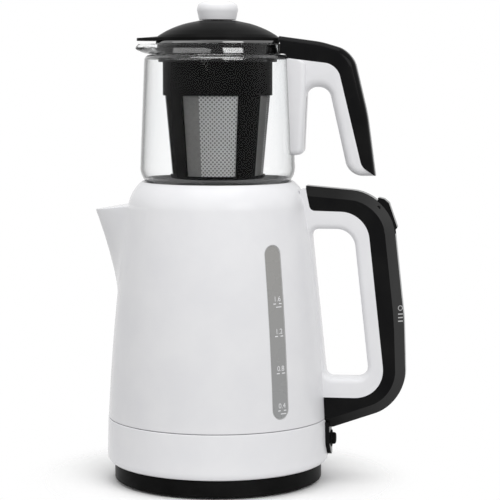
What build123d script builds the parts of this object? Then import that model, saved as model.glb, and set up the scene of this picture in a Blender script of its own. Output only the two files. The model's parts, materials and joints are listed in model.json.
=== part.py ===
from build123d import *

import math
import os

# Electric tea maker: a cordless kettle on its power base, with a glass teapot in the kettle's mouth.
# Millimetres. +Z is up, the origin is on the kettle's axis at the table, +X points to the handle and
# -X to the spout.

# Shared fits and cuts
seat_gap = 0.1          # between pieces fixed together
slide_gap = 0.4         # between pieces that lift apart or travel
running_gap = 0.05      # radial clearance of a pin in its bore
overrun = 3.0           # every cut runs this far past what it cuts
full_turn = 360.0
quarter_turn = 90.0

# Power base
foot_stand = 1.5        # height of the base above the table
base_radius = 80.4
base_height = 13.2
base_wall = 2.4
base_low_round = 2.0
base_top_round = 1.2
base_plate_thickness = 2.0
base_plate_recess = 0.8
foot_radius = 7.0
foot_margin = 18.4      # from the base's edge to a foot's middle
foot_count = 4
base_post_radius = 4.5
base_screw_count = 4
socket_radius = 14.0
socket_rise = 12.0      # tower above the base's top
socket_flange = 5.0
socket_flange_thickness = 2.0
socket_bore = 3.4
socket_slot_radius = 8.6
socket_slot_width = 2.6
socket_slot_depth = 10.0
contact_thickness = 0.5
gland_radius = 3.8
gland_length = 9.0
gland_wing_half_width = 7.0
gland_wing_thickness = 1.6
gland_bore = 3.0

# Small self-tapping screws
screw_shank = 1.4
screw_head = 2.8
screw_head_height = 1.8
screw_length = 8.0

# Kettle skirt and underside
skirt_height = 34.9
skirt_lip = 0.3            # the skirt's top past the body at the seam
skirt_flare = 0.8          # its foot past its top
skirt_low_round = 6.0
skirt_wall = 2.6
skirt_flange_width = 20.1
seam_gap = 0.5
spigot_height = 4.0
spigot_thickness = 2.4
underside_thickness = 2.0
pillar_radius = 4.2
pillar_count = 3

# Kettle body
body_height = 182.1
body_wall = 3.0
seam_radius = 85.0
belly_bulge = 2.03              # past the straight line from seam to shoulder
belly_height_share = 0.407      # of the body's height
shoulder_width = 10.5           # past the rim
shoulder_height_share = 0.895   # of the body's height
rim_radius = 58.6
rim_thickness = 3.6
floor_flange_width = 9.0
floor_flange_thickness = 3.0

# Teapot seat in the kettle's mouth
rim_lip = 2.3                   # from the rim's edge in to the seat ring
seat_ledge_width = 1.8
seat_ledge_depth = 2.5
seat_depth = 4.4
seat_top_drop = 0.4
seat_cone_width = 5.8
seat_thickness = 2.5
mouth_shelf = 16.3              # from the seat ring in to the mouth

# Spout
spout_reach = 27.3              # past the body at the tip
spout_root_height_share = 0.485  # of the body's height
spout_tip_height_share = 0.878
spout_back_height_share = 0.901
spout_half_angle = 21.0
spout_root_half_angle = 13.0
spout_curve_power = 1.45
spout_nose_round = 5.0
spout_wall = 2.2
spout_section_count = 6
spout_sink = 2.0                # the root starts this far inside the body
filter_thickness = 1.8
filter_margin = 4.0
filter_low_share = 0.30         # of the spout's height
filter_high_share = 0.90
filter_half_angle = 15.0
filter_mesh_thickness = 0.6
filter_hole_radius = 1.3
filter_hole_rows = 9
filter_hole_columns = 6

# Level window in the body's wall
window_angle = -47.5
window_width = 14.6
window_low_margin = 8.4         # above the body's lower edge
window_high_share = 0.757       # of the body's height
window_seal_thickness = 0.8
window_setback = 0.4

# Heating plate and control under the floor
plate_seal_thickness = 2.2
plate_seal_width = 7.5
plate_seal_side_gap = 0.6
heating_plate_thickness = 1.2
element_radius = 42.0
element_width = 8.0
element_height = 7.0
element_round = 3.0
element_arc = 300.0
element_pin_radius = 2.0
element_pin_length = 6.0
control_back = 20.0
control_front = 42.0
control_half_width = 27.0
control_height = 10.0
control_round = 3.0
control_post_radius = 4.0
control_post_x = 12.0
control_post_y = 19.0
bimetal_radius = 8.0
bimetal_thickness = 0.8
bimetal_x = 6.0
bimetal_y = 12.0

# Round plug under the kettle
plug_radius = 20.0
plug_flange = 4.0
plug_flange_thickness = 2.0
plug_mouth_gap = 0.8
plug_roof_gap = 1.2
pin_radius = 2.2
pin_sleeve_thickness = 0.6
pin_end_gap = 1.5

# Kettle handle, in shares of its reach and height
handle_front_gap = 8.9          # the top's front past the rim
handle_foot_sink = 17.8         # the foot's front inside the skirt's top edge
handle_reach = 79.1
handle_low_drop = 6.2           # below the seam
handle_top_drop = 2.5           # below the rim
handle_half_width = 11.0
handle_face_half_width = 6.5
handle_chamfer_depth = 7.5
handle_wall = 2.4
handle_outer_shares = [(0.0, 1.0), (0.839, 0.970), (0.972, 0.455), (1.0, 0.106), (0.291, 0.0)]
handle_outer_rounds = [0.0, 36.0, 150.0, 34.0, 0.0]
handle_inside_share = -0.20
handle_split_shares = [(-0.012, 1.06), (0.067, 0.899), (0.611, 0.893), (0.809, 0.127)]
handle_split_rounds = [0.0, 4.0, 22.0, 22.0]
handle_root_top_share = 0.990
handle_loop_shares = [(0.066, 0.823), (0.480, 0.823), (0.640, 0.208), (0.218, 0.208)]
handle_loop_rounds = [6.0, 14.0, 9.0, 6.0]
handle_loop_edge_round = 4.5
tongue_thickness = 3.2
tongue_low_margin = 6.7         # above the skirt's lower edge
tongue_tip_half_width = 4.0
tongue_taper_height = 9.0
tongue_round = 6.0

# Boil lever and steam switch in the handle's top corner
lever_half_width = 6.0
lever_pivot_share = (0.7206, 0.9128)
lever_outer_shares = [(0.709, 0.954), (0.772, 0.948), (0.819, 0.931), (0.9014, 0.830), (0.871, 0.817)]
lever_heel_share = (0.752, 0.891)
lever_tail_share = (0.386, 0.886)
lever_rounds = [0.6, 3.0, 1.0, 1.0, 1.0]
lever_hub_radius = 3.0
lever_pin_radius = 1.5
lever_pin_seat = 2.0
lever_tail_thickness = 3.0
lever_tail_half_width = 2.0
lever_travel = 8.0
steam_switch_share = 0.150
steam_switch_length = 13.0
steam_switch_height = 16.0
steam_switch_half_width = 5.2
steam_hole_radius = 3.0
steam_hole_share = 0.865        # of the handle's height
grommet_thickness = 1.2
grommet_length = 8.0

# Keep-warm button at the handle's foot
button_radius = 4.6
button_height = 18.7            # above the skirt's lower edge
button_proud = 3.6
button_edge_round = 2.0
button_depth = 5.0
button_stem_radius = 2.0
button_stem_length = 9.0
button_travel = 2.5
bezel_width = 1.6
bezel_proud = 0.6
bezel_depth = 2.6
button_switch_length = 14.0
button_switch_half_width = 7.0
button_switch_above = 7.0

# Glass teapot
glass_height = 109.4
glass_wall = 2.2
glass_overhang = 1.6            # past the kettle's rim
glass_taper = 4.2               # the top is this much smaller in radius
glass_corner_round = 15.0
glass_shoulder_drop = 8.2       # shoulder below the rim
glass_shoulder_round = 4.5
glass_shoulder_width = 7.6      # from the glass's top in to the neck
neck_wall = 2.1
neck_length = 4.4
neck_root_round = 1.6
rim_flare = 0.8
lip_overhang = 8.0              # past the glass's top
lip_nose_round = 5.2
lip_depth = 6.4

# Teapot handle, in shares of its reach and height
pot_handle_sink = 4.4           # the arm's root inside the neck's radius, before it is cut
pot_handle_reach = 77.8
pot_handle_lift = 9.5           # above the glass's foot
pot_handle_rise = 6.5           # above the glass's rim
pot_handle_half_width = 10.0
pot_bar_half_width = 14.0
pot_handle_neck_gap = 1.0
pot_outer_shares = [(0.0, 1.0), (0.463, 0.953), (0.771, 0.885), (0.919, 0.434)]
pot_outer_rounds = [0.0, 60.0, 20.0, 120.0]
pot_split_shares = [(0.0, 0.850), (0.627, 0.792), (0.869, 0.068), (1.0, 0.0)]
pot_split_rounds = [0.0, 13.0, 10.0, 0.0]
pot_grip_shares = [(0.737, 0.0), (0.540, 0.632)]
pot_grip_rounds = [13.0, 9.0]
pot_bar_low_share = 0.148
pot_bar_high_thickness = 13.0
pot_bar_low_thickness = 6.8
pot_bar_high_round = 5.0
pot_bar_low_round = 4.0
bond_thickness = 0.8
bond_margin = 3.0

# Strainer
strainer_rim_thickness = 2.3
strainer_rim_setback = 0.5      # inside the neck's outside
strainer_collar_depth = 13.6
strainer_collar_wall = 2.0
strainer_band_gap = 4.3         # inside the neck
strainer_band_height = 24.5
strainer_taper_width = 5.8      # the foot is this much smaller in radius
strainer_depth = 103.0
strainer_wall = 1.6
strainer_window_count = 4
strainer_window_angle = 62.0
strainer_window_low_share = 0.045       # of the tapered part's height
strainer_window_high_share = 0.985
strainer_floor_thickness = 1.6
mesh_thickness = 0.5
mesh_hole_radius = 1.5
mesh_hole_rows = 14
mesh_hole_columns = 4
mesh_hole_angle = 34.0
mesh_hole_low_share = 0.07
mesh_hole_high_share = 0.95

# Lid
brim_thickness = 2.2
brim_setback = 1.2              # inside the neck's outside
brim_tip_gap = 1.0              # short of the lip
brim_tip_round = 4.0
dome_setback = 1.0              # inside the brim
dome_height = 13.3
dome_edge = 1.5
dome_mid_radius_share = 0.703
dome_mid_height_share = 0.685
dome_thickness = 2.0
lid_skirt_depth = 5.0
lid_skirt_thickness = 1.6
knob_radius = 16.2
knob_foot_radius = 14.0
knob_height = 15.0
knob_foot_gap = 0.5
knob_edge_drop = 1.8            # rim of the crown below its middle
knob_edge_round = 5.5
knob_wall = 2.2
knob_post_radius = 4.0
knob_screw_reach = 6.0

# Levels worked out from the stack
base_low = foot_stand
base_top = base_low + base_height
skirt_low = base_top
skirt_top = skirt_low + skirt_height
body_low = skirt_top + seam_gap
body_top = skirt_top + body_height
spigot_top = skirt_top + spigot_height
floor_low = spigot_top + seam_gap
floor_top = floor_low + floor_flange_thickness
heating_low = floor_top + plate_seal_thickness
heating_top = heating_low + heating_plate_thickness
socket_top = base_top + socket_rise
underside_low = skirt_low + skirt_wall
underside_top = underside_low + underside_thickness
glass_low = body_top - seat_depth
glass_top = glass_low + glass_height
glass_shoulder = glass_top - glass_shoulder_drop
strainer_top = glass_top + strainer_rim_thickness
brim_top = strainer_top + brim_thickness
dome_top = brim_top + dome_height
knob_low = dome_top + knob_foot_gap
knob_top = knob_low + knob_height

window_low = body_low + window_low_margin
window_high = body_low + window_high_share * body_height
shoulder_radius = rim_radius + shoulder_width
belly_line_share = belly_height_share / shoulder_height_share
belly_radius = seam_radius + belly_line_share * (shoulder_radius - seam_radius) + belly_bulge
seat_ring_radius = rim_radius - rim_lip
seat_cone_low_radius = seat_ring_radius - seat_cone_width
mouth_radius = seat_ring_radius - mouth_shelf
glass_radius = rim_radius + glass_overhang
glass_top_radius = glass_radius - glass_taper
neck_radius = glass_top_radius - glass_shoulder_width
neck_inner_radius = neck_radius - neck_wall
lip_reach = glass_top_radius + lip_overhang
strainer_rim_radius = neck_radius - strainer_rim_setback
strainer_band_radius = neck_inner_radius - strainer_band_gap
strainer_low_radius = strainer_band_radius - strainer_taper_width
brim_radius = neck_radius - brim_setback
brim_tip_reach = lip_reach - brim_tip_gap
dome_radius = brim_radius - dome_setback
skirt_top_radius = seam_radius + skirt_lip
skirt_radius = skirt_top_radius + skirt_flare
handle_top_front = rim_radius + handle_front_gap
handle_foot_front = skirt_top_radius - handle_foot_sink
handle_low = skirt_top - handle_low_drop
handle_height = body_top - handle_top_drop - handle_low
tongue_low = skirt_low + tongue_low_margin
button_z = skirt_low + button_height
pot_handle_front = neck_radius - pot_handle_sink
pot_handle_low = glass_low + pot_handle_lift
pot_handle_height = glass_top + pot_handle_rise - pot_handle_low

parts_folder = "parts"


def save(node, *pieces):
    """Write the solids of one node."""
    solids = [solid for piece in pieces for solid in piece.solids()]
    export_step(Compound(solids), os.path.join(parts_folder, node + ".step"))


def outline(*corners):
    """Closed face through corners of (x, z) or (x, z, rounding)."""
    points = [corner[:2] for corner in corners]
    rounds = [corner[2] if len(corner) > 2 else 0.0 for corner in corners]
    return make_face(FilletPolyline(*points, radius=rounds, close=True))


def turned(face, arc=full_turn):
    """Solid of revolution about the kettle's axis from a face in (radius, height)."""
    return revolve(Plane.XZ * face, Axis.Z, arc)


def upright(face, half_width):
    """Prism of a face in (x, z), the same depth on both sides of the middle plane."""
    return extrude(Plane.XZ * face, half_width, both=True)


def post(radius, low, high, x=0.0, y=0.0):
    return Pos(x, y, low) * extrude(Circle(radius), high - low)


def ring(inner, outer, low, high):
    return Pos(0, 0, low) * extrude(Circle(outer) - Circle(inner), high - low)


def block(x_low, x_high, half_width, low, high):
    """Box that lies evenly about the middle plane."""
    middle = Pos((x_low + x_high) / 2, 0, (low + high) / 2)
    return middle * Box(x_high - x_low, 2 * half_width, high - low)


def around(piece, count, start=0.0):
    """Copies of a piece, turned evenly about the axis."""
    step = full_turn / count
    return [Rot(0, 0, start + step * index) * piece for index in range(count)]


def rod_x(radius, x_low, x_high, z):
    """Round bar along X in the middle plane."""
    return Pos(x_low, 0, z) * Rot(0, quarter_turn, 0) * extrude(Circle(radius), x_high - x_low)


def screw(low):
    """Pan-head screw that points up, with the underside of its head at the level given."""
    head = post(screw_head, low - screw_head_height, low)
    return head + post(screw_shank, low, low + screw_length)


def fitted(shares, rounds, place):
    """Outline corners from shares and roundings, by the function that places a share."""
    return [(*place(*share), rounding) for share, rounding in zip(shares, rounds)]


# Power base

base_inner = base_radius - base_wall
foot_circle = base_radius - foot_margin
base_plate_low = base_low + base_plate_recess
base_plate_top = base_plate_low + base_plate_thickness
base_roof = base_top - base_wall
foot_step = full_turn / foot_count


def base_screw_place(piece):
    return around(Pos(foot_circle, 0, 0) * piece, base_screw_count, foot_step / 2)


def make_base_shell():
    hole = socket_radius + seat_gap
    shell = turned(outline(
        (hole, base_roof), (base_inner, base_roof), (base_inner, base_low),
        (base_radius, base_low, base_low_round), (base_radius, base_top, base_top_round),
        (hole, base_top),
    ))
    pillar = post(base_post_radius, base_plate_top, base_roof)
    screw_end = base_plate_low + base_plate_recess + screw_length
    pilot = post(screw_shank + running_gap, base_low, screw_end + seat_gap)
    for pillar_copy, pilot_copy in zip(base_screw_place(pillar), base_screw_place(pilot)):
        shell = shell + pillar_copy - pilot_copy
    gland_hole = extrude(Circle(gland_radius + seat_gap), gland_length, both=True)
    return shell - gland_place() * gland_hole


def make_base_plate():
    plate = post(base_inner - seat_gap, base_plate_low, base_plate_top)
    hole = post(screw_shank + seat_gap, base_low, base_plate_top + overrun)
    counterbore = post(screw_head + seat_gap, base_low - overrun, base_plate_low + base_plate_recess)
    for cut in base_screw_place(hole) + base_screw_place(counterbore):
        plate = plate - cut
    return plate


def gland_place():
    """Where the cord inlet sits, on the far side of the base, half way up its wall."""
    height = (base_plate_top + base_roof) / 2
    return Pos(0, base_radius, height) * Rot(quarter_turn, 0, 0)


def make_gland():
    """Rubber bush through the base's wall, with wings that hold it from inside."""
    bush = extrude(Circle(gland_radius), gland_length)
    wings = Pos(0, 0, base_wall + slide_gap) * extrude(
        Rectangle(2 * gland_wing_half_width, 2 * gland_radius), gland_wing_thickness
    )
    bore = extrude(Circle(gland_bore), gland_length + overrun, both=True)
    return gland_place() * (bush + wings - bore)


def make_base_socket():
    flange_low = base_roof - socket_flange_thickness
    socket = post(socket_radius, base_plate_top, socket_top)
    socket = socket + post(socket_radius + socket_flange, flange_low, base_roof)
    bore = post(socket_bore, socket_top - socket_slot_depth, socket_top + overrun)
    slot = ring(
        socket_slot_radius - socket_slot_width / 2, socket_slot_radius + socket_slot_width / 2,
        socket_top - socket_slot_depth, socket_top + overrun,
    )
    return socket - bore - slot


def make_socket_contacts():
    low = socket_top - socket_slot_depth
    high = socket_top - socket_slot_depth / 2
    centre = ring(socket_bore - seat_gap - contact_thickness, socket_bore - seat_gap, low, high)
    slot_inner = socket_slot_radius - socket_slot_width / 2 + seat_gap
    outer = ring(slot_inner, slot_inner + contact_thickness, low, high)
    return centre, outer


# Kettle skirt, underside and body

def skirt_form(grow):
    """Outer form of the skirt, with its sides moved out by the amount given."""
    return turned(outline(
        (0.0, skirt_low), (skirt_radius + grow, skirt_low, skirt_low_round),
        (skirt_top_radius + grow, skirt_top), (0.0, skirt_top),
    ))


def body_radius_at(height, grow=0.0):
    """Outer radius of the body's flank at a height."""
    arc = flank_arc(grow)
    rise = height - arc.arc_center.Y
    return arc.arc_center.X + math.sqrt(arc.radius ** 2 - rise ** 2)


def flank_arc(grow):
    belly = body_low + belly_height_share * body_height
    shoulder = body_low + shoulder_height_share * body_height
    return ThreePointArc(
        (seam_radius + grow, body_low), (belly_radius + grow, belly), (shoulder_radius + grow, shoulder)
    )


def body_form(grow, top=body_top):
    """Outer form of the body, with its flank and shoulder moved out by the amount given."""
    flank = flank_arc(grow)
    shoulder = TangentArc(flank @ 1, (rim_radius + grow, top), tangent=flank % 1)
    inside = Polyline((rim_radius + grow, top), (0.0, top), (0.0, body_low), (seam_radius + grow, body_low))
    return turned(make_face(flank + shoulder + inside))


def kettle_form(grow):
    """Outer form of skirt and body together, with the seam filled."""
    seam = post(seam_radius + grow, skirt_top - overrun, body_low + overrun)
    return skirt_form(grow) + seam + body_form(grow)


def make_kettle_skirt():
    skirt_inner_top = skirt_top_radius - skirt_wall
    skirt_flange_inner = skirt_radius - skirt_flange_width
    spigot_outer = seam_radius - body_wall - seat_gap
    spigot_inner = spigot_outer - spigot_thickness
    skirt = turned(outline(
        (skirt_flange_inner, skirt_low), (skirt_radius, skirt_low, skirt_low_round),
        (skirt_top_radius, skirt_top, seam_gap), (spigot_outer, skirt_top), (spigot_outer, spigot_top),
        (spigot_inner, spigot_top), (spigot_inner, skirt_top - spigot_height),
        (skirt_inner_top, skirt_top - 2 * spigot_height),
        (skirt_radius - skirt_wall, underside_low, skirt_low_round - skirt_wall),
        (skirt_flange_inner, underside_low),
    ))
    return skirt - rod_x(button_radius + slide_gap, spigot_inner - overrun, skirt_radius + overrun, button_z)


pillar_circle = seam_radius - body_wall - spigot_thickness - pillar_radius - 2 * seat_gap
pillar_start = full_turn / pillar_count / 2


def pillar_place(piece):
    return around(Pos(pillar_circle, 0, 0) * piece, pillar_count, pillar_start)


def make_underside():
    plate = post(pillar_circle, underside_low, underside_top)
    plate = plate - post(plug_radius + seat_gap, underside_low - overrun, underside_top + overrun)
    pillar = post(pillar_radius, underside_low, floor_low)
    bore = post(screw_head + seat_gap, underside_low - overrun, floor_low - screw_shank)
    hole = post(screw_shank + seat_gap, underside_low, floor_low + overrun)
    for pillar_copy in pillar_place(pillar):
        plate = plate + pillar_copy
    for cut in pillar_place(bore) + pillar_place(hole):
        plate = plate - cut
    return plate


def skirt_screw_length():
    """The screws end inside the floor flange."""
    return screw_shank + floor_flange_thickness / 2


def make_skirt_screws():
    shoulder = floor_low - screw_shank
    head = post(screw_head, shoulder - screw_head_height, shoulder)
    return pillar_place(head + post(screw_shank, shoulder, shoulder + skirt_screw_length()))


def make_teapot_seat():
    hole = seat_ring_radius - seat_ledge_width
    ledge = body_top - seat_ledge_depth
    low = glass_low - seat_thickness
    top = body_top - seat_top_drop
    return turned(outline(
        (mouth_radius, low), (seat_cone_low_radius, low), (hole - seat_gap, glass_low),
        (hole - seat_gap, ledge), (seat_ring_radius - seat_gap, ledge), (seat_ring_radius - seat_gap, top),
        (seat_ring_radius - 2 * seat_gap, top), (seat_cone_low_radius, glass_low),
        (mouth_radius, glass_low),
    ))


spout_root = body_low + spout_root_height_share * body_height
spout_tip = body_low + spout_tip_height_share * body_height
spout_back = body_low + spout_back_height_share * body_height


def spout_section(share, inset):
    """Three-sided section of the spout at a share of its height, with its sides moved in."""
    height = spout_root + share * (spout_tip - spout_root)
    body = body_radius_at(height)
    angle = math.radians(spout_root_half_angle + share * (spout_half_angle - spout_root_half_angle))
    reach = spout_reach * share ** spout_curve_power - spout_sink * (1 - share)
    nose = -(body + reach)
    root = -(body - spout_sink) * math.cos(angle)
    half_width = (body - spout_sink) * math.sin(angle)
    lean = math.atan2(half_width, root - nose)
    corner = nose + spout_nose_round - (spout_nose_round - inset) / math.sin(lean)
    side = half_width - inset / math.cos(lean) if inset else half_width
    back = root + 2 * spout_sink
    face = outline(
        (corner, 0.0, spout_nose_round - inset), (root, side), (back, side), (back, -side), (root, -side),
    )
    return Pos(0, 0, height) * face


def spout_form(inset):
    top_share = (spout_back - spout_root) / (spout_tip - spout_root)
    shares = [top_share * index / (spout_section_count - 1) for index in range(spout_section_count)]
    return loft([spout_section(share, inset) for share in shares])


def spout_trim():
    """Everything above the spout's slanted rim."""
    tip = body_radius_at(spout_tip) + spout_reach
    back = body_radius_at(spout_back)
    far = tip + spout_reach
    slope = (spout_back - spout_tip) / (tip - back)
    return upright(outline(
        (-far, spout_tip - slope * (far - tip)), (-mouth_radius, spout_tip + slope * (tip - mouth_radius)),
        (-mouth_radius, body_top + spout_reach), (-far, body_top + spout_reach),
    ), skirt_radius)


def filter_zone(half_angle, low_share, high_share):
    """Wedge about the spout between two shares of its height."""
    low = spout_root + low_share * (spout_tip - spout_root)
    high = spout_root + high_share * (spout_tip - spout_root)
    wedge = turned(outline(
        (mouth_radius, low), (skirt_radius, low), (skirt_radius, high), (mouth_radius, high),
    ), 2 * half_angle)
    return Rot(0, 0, 2 * quarter_turn - half_angle) * wedge


def filter_wall(inset, thickness):
    return body_form(-inset) - body_form(-inset - thickness)


def margin_angle():
    return math.degrees(filter_margin / body_radius_at(spout_tip))


def margin_share():
    return filter_margin / (spout_tip - spout_root)


def make_filter_frame():
    wall = filter_wall(body_wall + seat_gap, filter_thickness)
    frame = wall & filter_zone(
        filter_half_angle + margin_angle(),
        filter_low_share - margin_share(), filter_high_share + margin_share(),
    )
    return frame - filter_zone(filter_half_angle, filter_low_share, filter_high_share)


def make_filter_mesh():
    wall = filter_wall(body_wall + seat_gap + filter_thickness / 2, filter_mesh_thickness)
    gap_angle = math.degrees(seat_gap / body_radius_at(spout_tip))
    gap_share = seat_gap / (spout_tip - spout_root)
    sheet = wall & filter_zone(
        filter_half_angle - gap_angle, filter_low_share + gap_share, filter_high_share - gap_share
    )
    height = (filter_high_share - filter_low_share) * (spout_tip - spout_root)
    low = spout_root + filter_low_share * (spout_tip - spout_root)
    holes = []
    for row in range(filter_hole_rows):
        level = low + height * (row + 0.5) / filter_hole_rows
        for column in range(filter_hole_columns):
            turn = filter_half_angle * ((2 * column + 1) / filter_hole_columns - 1)
            holes.append(Rot(0, 0, turn) * rod_x(filter_hole_radius, -skirt_radius, -mouth_radius, level))
    return sheet - holes


# Level window

def window_slot(shrink):
    """Rounded slot that looks along the window's own direction."""
    slot = SlotOverall(window_high - window_low - 2 * shrink, window_width - 2 * shrink)
    upright_slot = Pos(0, (window_low + window_high) / 2) * Rot(0, 0, quarter_turn) * slot
    return Rot(0, 0, window_angle) * extrude(Plane.YZ * upright_slot, seam_radius + overrun)


def make_window():
    wall = body_form(-window_setback) - body_form(-body_wall)
    return wall & window_slot(window_seal_thickness + seat_gap)


def make_window_seal():
    wall = body_form(-window_setback) - body_form(-body_wall)
    return (wall & window_slot(seat_gap)) - window_slot(window_seal_thickness)


# Kettle handle

def handle_point(across_share, up_share):
    """Place on the handle, whose foot stands on the skirt and whose top on the rim."""
    front = handle_foot_front + up_share * (handle_top_front - handle_foot_front)
    return front + across_share * handle_reach, handle_low + up_share * handle_height


def handle_outer_corners():
    low_inside = (*handle_point(handle_inside_share, 0.0), 0.0)
    high_inside = (*handle_point(handle_inside_share, 1.0), 0.0)
    return fitted(handle_outer_shares, handle_outer_rounds, handle_point) + [low_inside, high_inside]


def handle_split_face():
    """The white side of the line between the white handle and its black cover."""
    corners = fitted(handle_split_shares, handle_split_rounds, handle_point)
    low = handle_split_shares[-1][1]
    high = handle_split_shares[0][1]
    inside_low = (*handle_point(handle_inside_share, low), 0.0)
    inside_high = (*handle_point(handle_inside_share, high), 0.0)
    return outline(*corners, inside_low, inside_high)


def handle_loop_face(grow=0.0):
    top_left, top_right, low_right, low_left = fitted(handle_loop_shares, handle_loop_rounds, handle_point)
    return outline(
        (top_left[0] - grow, top_left[1] + grow, top_left[2] + grow),
        (top_right[0] + grow, top_right[1] + grow, top_right[2] + grow),
        (low_right[0] + grow, low_right[1] - grow, low_right[2] + grow),
        (low_left[0] - grow, low_left[1] - grow, low_left[2] + grow),
    )


def handle_root_roof():
    """Level of the white root between the shoulder and the cover."""
    return handle_point(0.0, handle_root_top_share)[1]


def make_handle_core():
    core = upright(handle_split_face(), handle_half_width) - upright(handle_loop_face(), handle_half_width)
    sides = core.faces().filter_by(Axis.Y).sort_by(SortBy.AREA)[-2:]
    rims = [edge for side in sides for edge in side.inner_wires()[0].edges()]
    core = fillet(rims, handle_loop_edge_round)
    roof = block(0.0, 2 * skirt_radius, skirt_radius, handle_root_roof(), body_top + handle_reach)
    return core - roof


def moved_in(corners, distance):
    """Corners of a clockwise outline that turns right at every corner, with every side moved in."""
    moved = []
    for index, (x, z, rounding) in enumerate(corners):
        corner = Vector(x, z)
        ahead = Vector(*corners[(index + 1) % len(corners)][:2])
        before = (corner - Vector(*corners[index - 1][:2])).normalized()
        after = (ahead - corner).normalized()
        lag = math.tan(math.radians(before.get_angle(after)) / 2)
        inward = Vector(before.Y, -before.X)
        place = corner + (inward - before * lag) * distance
        moved.append((place.X, place.Y, max(rounding - distance, 0.0)))
    return moved


def handle_outer_form():
    """The whole handle's outer form, chamfered along its back."""
    corners = handle_outer_corners()
    face = outline(*corners)
    middle = upright(face, handle_face_half_width)
    narrow = outline(*moved_in(corners, handle_chamfer_depth))
    side = loft([
        Plane.XZ.offset(handle_face_half_width) * face, Plane.XZ.offset(handle_half_width) * narrow,
    ], ruled=True)
    return middle + side + mirror(side, Plane.XZ)


def handle_pocket():
    """Hollow inside the white handle and its cover."""
    pocket = upright(outline(*moved_in(handle_outer_corners(), handle_wall)), handle_face_half_width)
    pocket = pocket - upright(handle_loop_face(handle_wall), handle_half_width)
    return pocket - kettle_form(handle_wall)


def tongue_form():
    """Black tongue that runs down the skirt's back."""
    tongue_high = handle_low + overrun
    face = outline(
        (handle_half_width, tongue_high), (handle_half_width, tongue_low + tongue_taper_height, tongue_round),
        (tongue_tip_half_width, tongue_low, tongue_round),
        (-tongue_tip_half_width, tongue_low, tongue_round),
        (-handle_half_width, tongue_low + tongue_taper_height, tongue_round),
        (-handle_half_width, tongue_high),
    )
    prism = extrude(Plane.YZ * face, skirt_radius + handle_reach)
    return prism & skirt_form(tongue_thickness)


def button_hole(radius):
    return rod_x(radius, mouth_radius, skirt_radius + handle_reach, button_z)


lever_pivot_x, lever_pivot_z = handle_point(*lever_pivot_share)
lever_corners = fitted(lever_outer_shares, lever_rounds, handle_point)


def lever_slot_low():
    """The slot's sill leaves room for the tip when the lever is pressed."""
    tip_x = lever_corners[3][0]
    drop = math.radians(lever_travel) * (tip_x - lever_pivot_x)
    return lever_corners[4][1] - drop - slide_gap


def lever_slot():
    """Opening in the cover's top corner that the lever fills, with room for its hub."""
    front = lever_corners[0][0] - slide_gap
    back = handle_point(1.0, 1.0)[0]
    roof = body_top + handle_wall
    slot = upright(outline(
        (front, lever_pivot_z), (front, roof), (back, roof), (back, lever_slot_low()),
        (lever_pivot_x, lever_slot_low()),
    ), handle_face_half_width)
    return slot + lever_pin_rod(lever_hub_radius + slide_gap, handle_face_half_width)


def lever_pin_rod(radius, half_length):
    face = Pos(lever_pivot_x, lever_pivot_z) * Circle(radius)
    return upright(face, half_length)


def make_boil_lever():
    """Rocker with a hub on its pin and a tail that works the steam switch."""
    heel = (*handle_point(*lever_heel_share), 0.0)
    rocker = upright(outline(*lever_corners, heel), lever_half_width)
    hub = lever_pin_rod(lever_hub_radius, lever_half_width)
    tail_x, tail_z = handle_point(*lever_tail_share)
    half = lever_tail_thickness / 2
    tail = upright(outline(
        (lever_pivot_x, lever_pivot_z - half), (lever_pivot_x, lever_pivot_z + half),
        (tail_x, tail_z + half), (tail_x, tail_z - half),
    ), lever_tail_half_width)
    return rocker + hub + tail - lever_pin_rod(lever_pin_radius + running_gap, handle_half_width)


def make_lever_pin():
    return lever_pin_rod(lever_pin_radius, handle_face_half_width + lever_pin_seat - seat_gap)


def make_handle_cover(core, pocket):
    cover = handle_outer_form() - upright(handle_split_face(), 2 * handle_half_width)
    cover = cover + tongue_form()
    cover = cover - kettle_form(seat_gap) - core
    cover = cover - pocket - lever_slot()
    cover = cover - lever_pin_rod(lever_pin_radius + running_gap, handle_face_half_width + lever_pin_seat)
    return cover - button_hole(button_radius + slide_gap + bezel_width + seat_gap)


def make_kettle_body(core, pocket):
    shell = body_form(0.0) + core + (spout_form(0.0) - spout_trim())
    cavity = body_form(-body_wall, body_top - rim_thickness) - post(skirt_radius, 0.0, floor_top)
    channel = spout_form(spout_wall) - body_form(-body_wall - 2 * spout_sink)
    shell = shell - cavity - channel
    mouth = post(seat_ring_radius - seat_ledge_width, body_top - overrun - rim_thickness, body_top + overrun)
    ledge = post(seat_ring_radius, body_top - seat_ledge_depth, body_top + overrun)
    floor_hole = post(seam_radius - body_wall - floor_flange_width, body_low - overrun, floor_top + overrun)
    recess = post(seam_radius - body_wall, body_low - overrun, floor_low)
    shell = shell - mouth - ledge - floor_hole - recess - window_slot(0.0) - pocket
    screw_end = floor_low + floor_flange_thickness / 2
    pilot = post(screw_shank + running_gap, floor_low - overrun, screw_end + seat_gap)
    for cut in pillar_place(pilot):
        shell = shell - cut
    return shell - steam_hole(steam_hole_radius)


steam_switch_x = handle_point(steam_switch_share, steam_hole_share)[0]
steam_hole_z = handle_point(0.0, steam_hole_share)[1]


def steam_hole(radius):
    return rod_x(radius, mouth_radius, steam_switch_x - seat_gap, steam_hole_z)


def make_steam_switch():
    floor = handle_point(0.0, handle_loop_shares[0][1])[1] + handle_wall
    return block(
        steam_switch_x, steam_switch_x + steam_switch_length, steam_switch_half_width,
        floor, floor + steam_switch_height,
    )


def make_steam_grommet():
    start = body_radius_at(steam_hole_z) - body_wall
    outer = rod_x(steam_hole_radius - seat_gap, start, start + grommet_length, steam_hole_z)
    return outer - rod_x(steam_hole_radius - grommet_thickness, mouth_radius, skirt_radius, steam_hole_z)


# Keep-warm button

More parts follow.
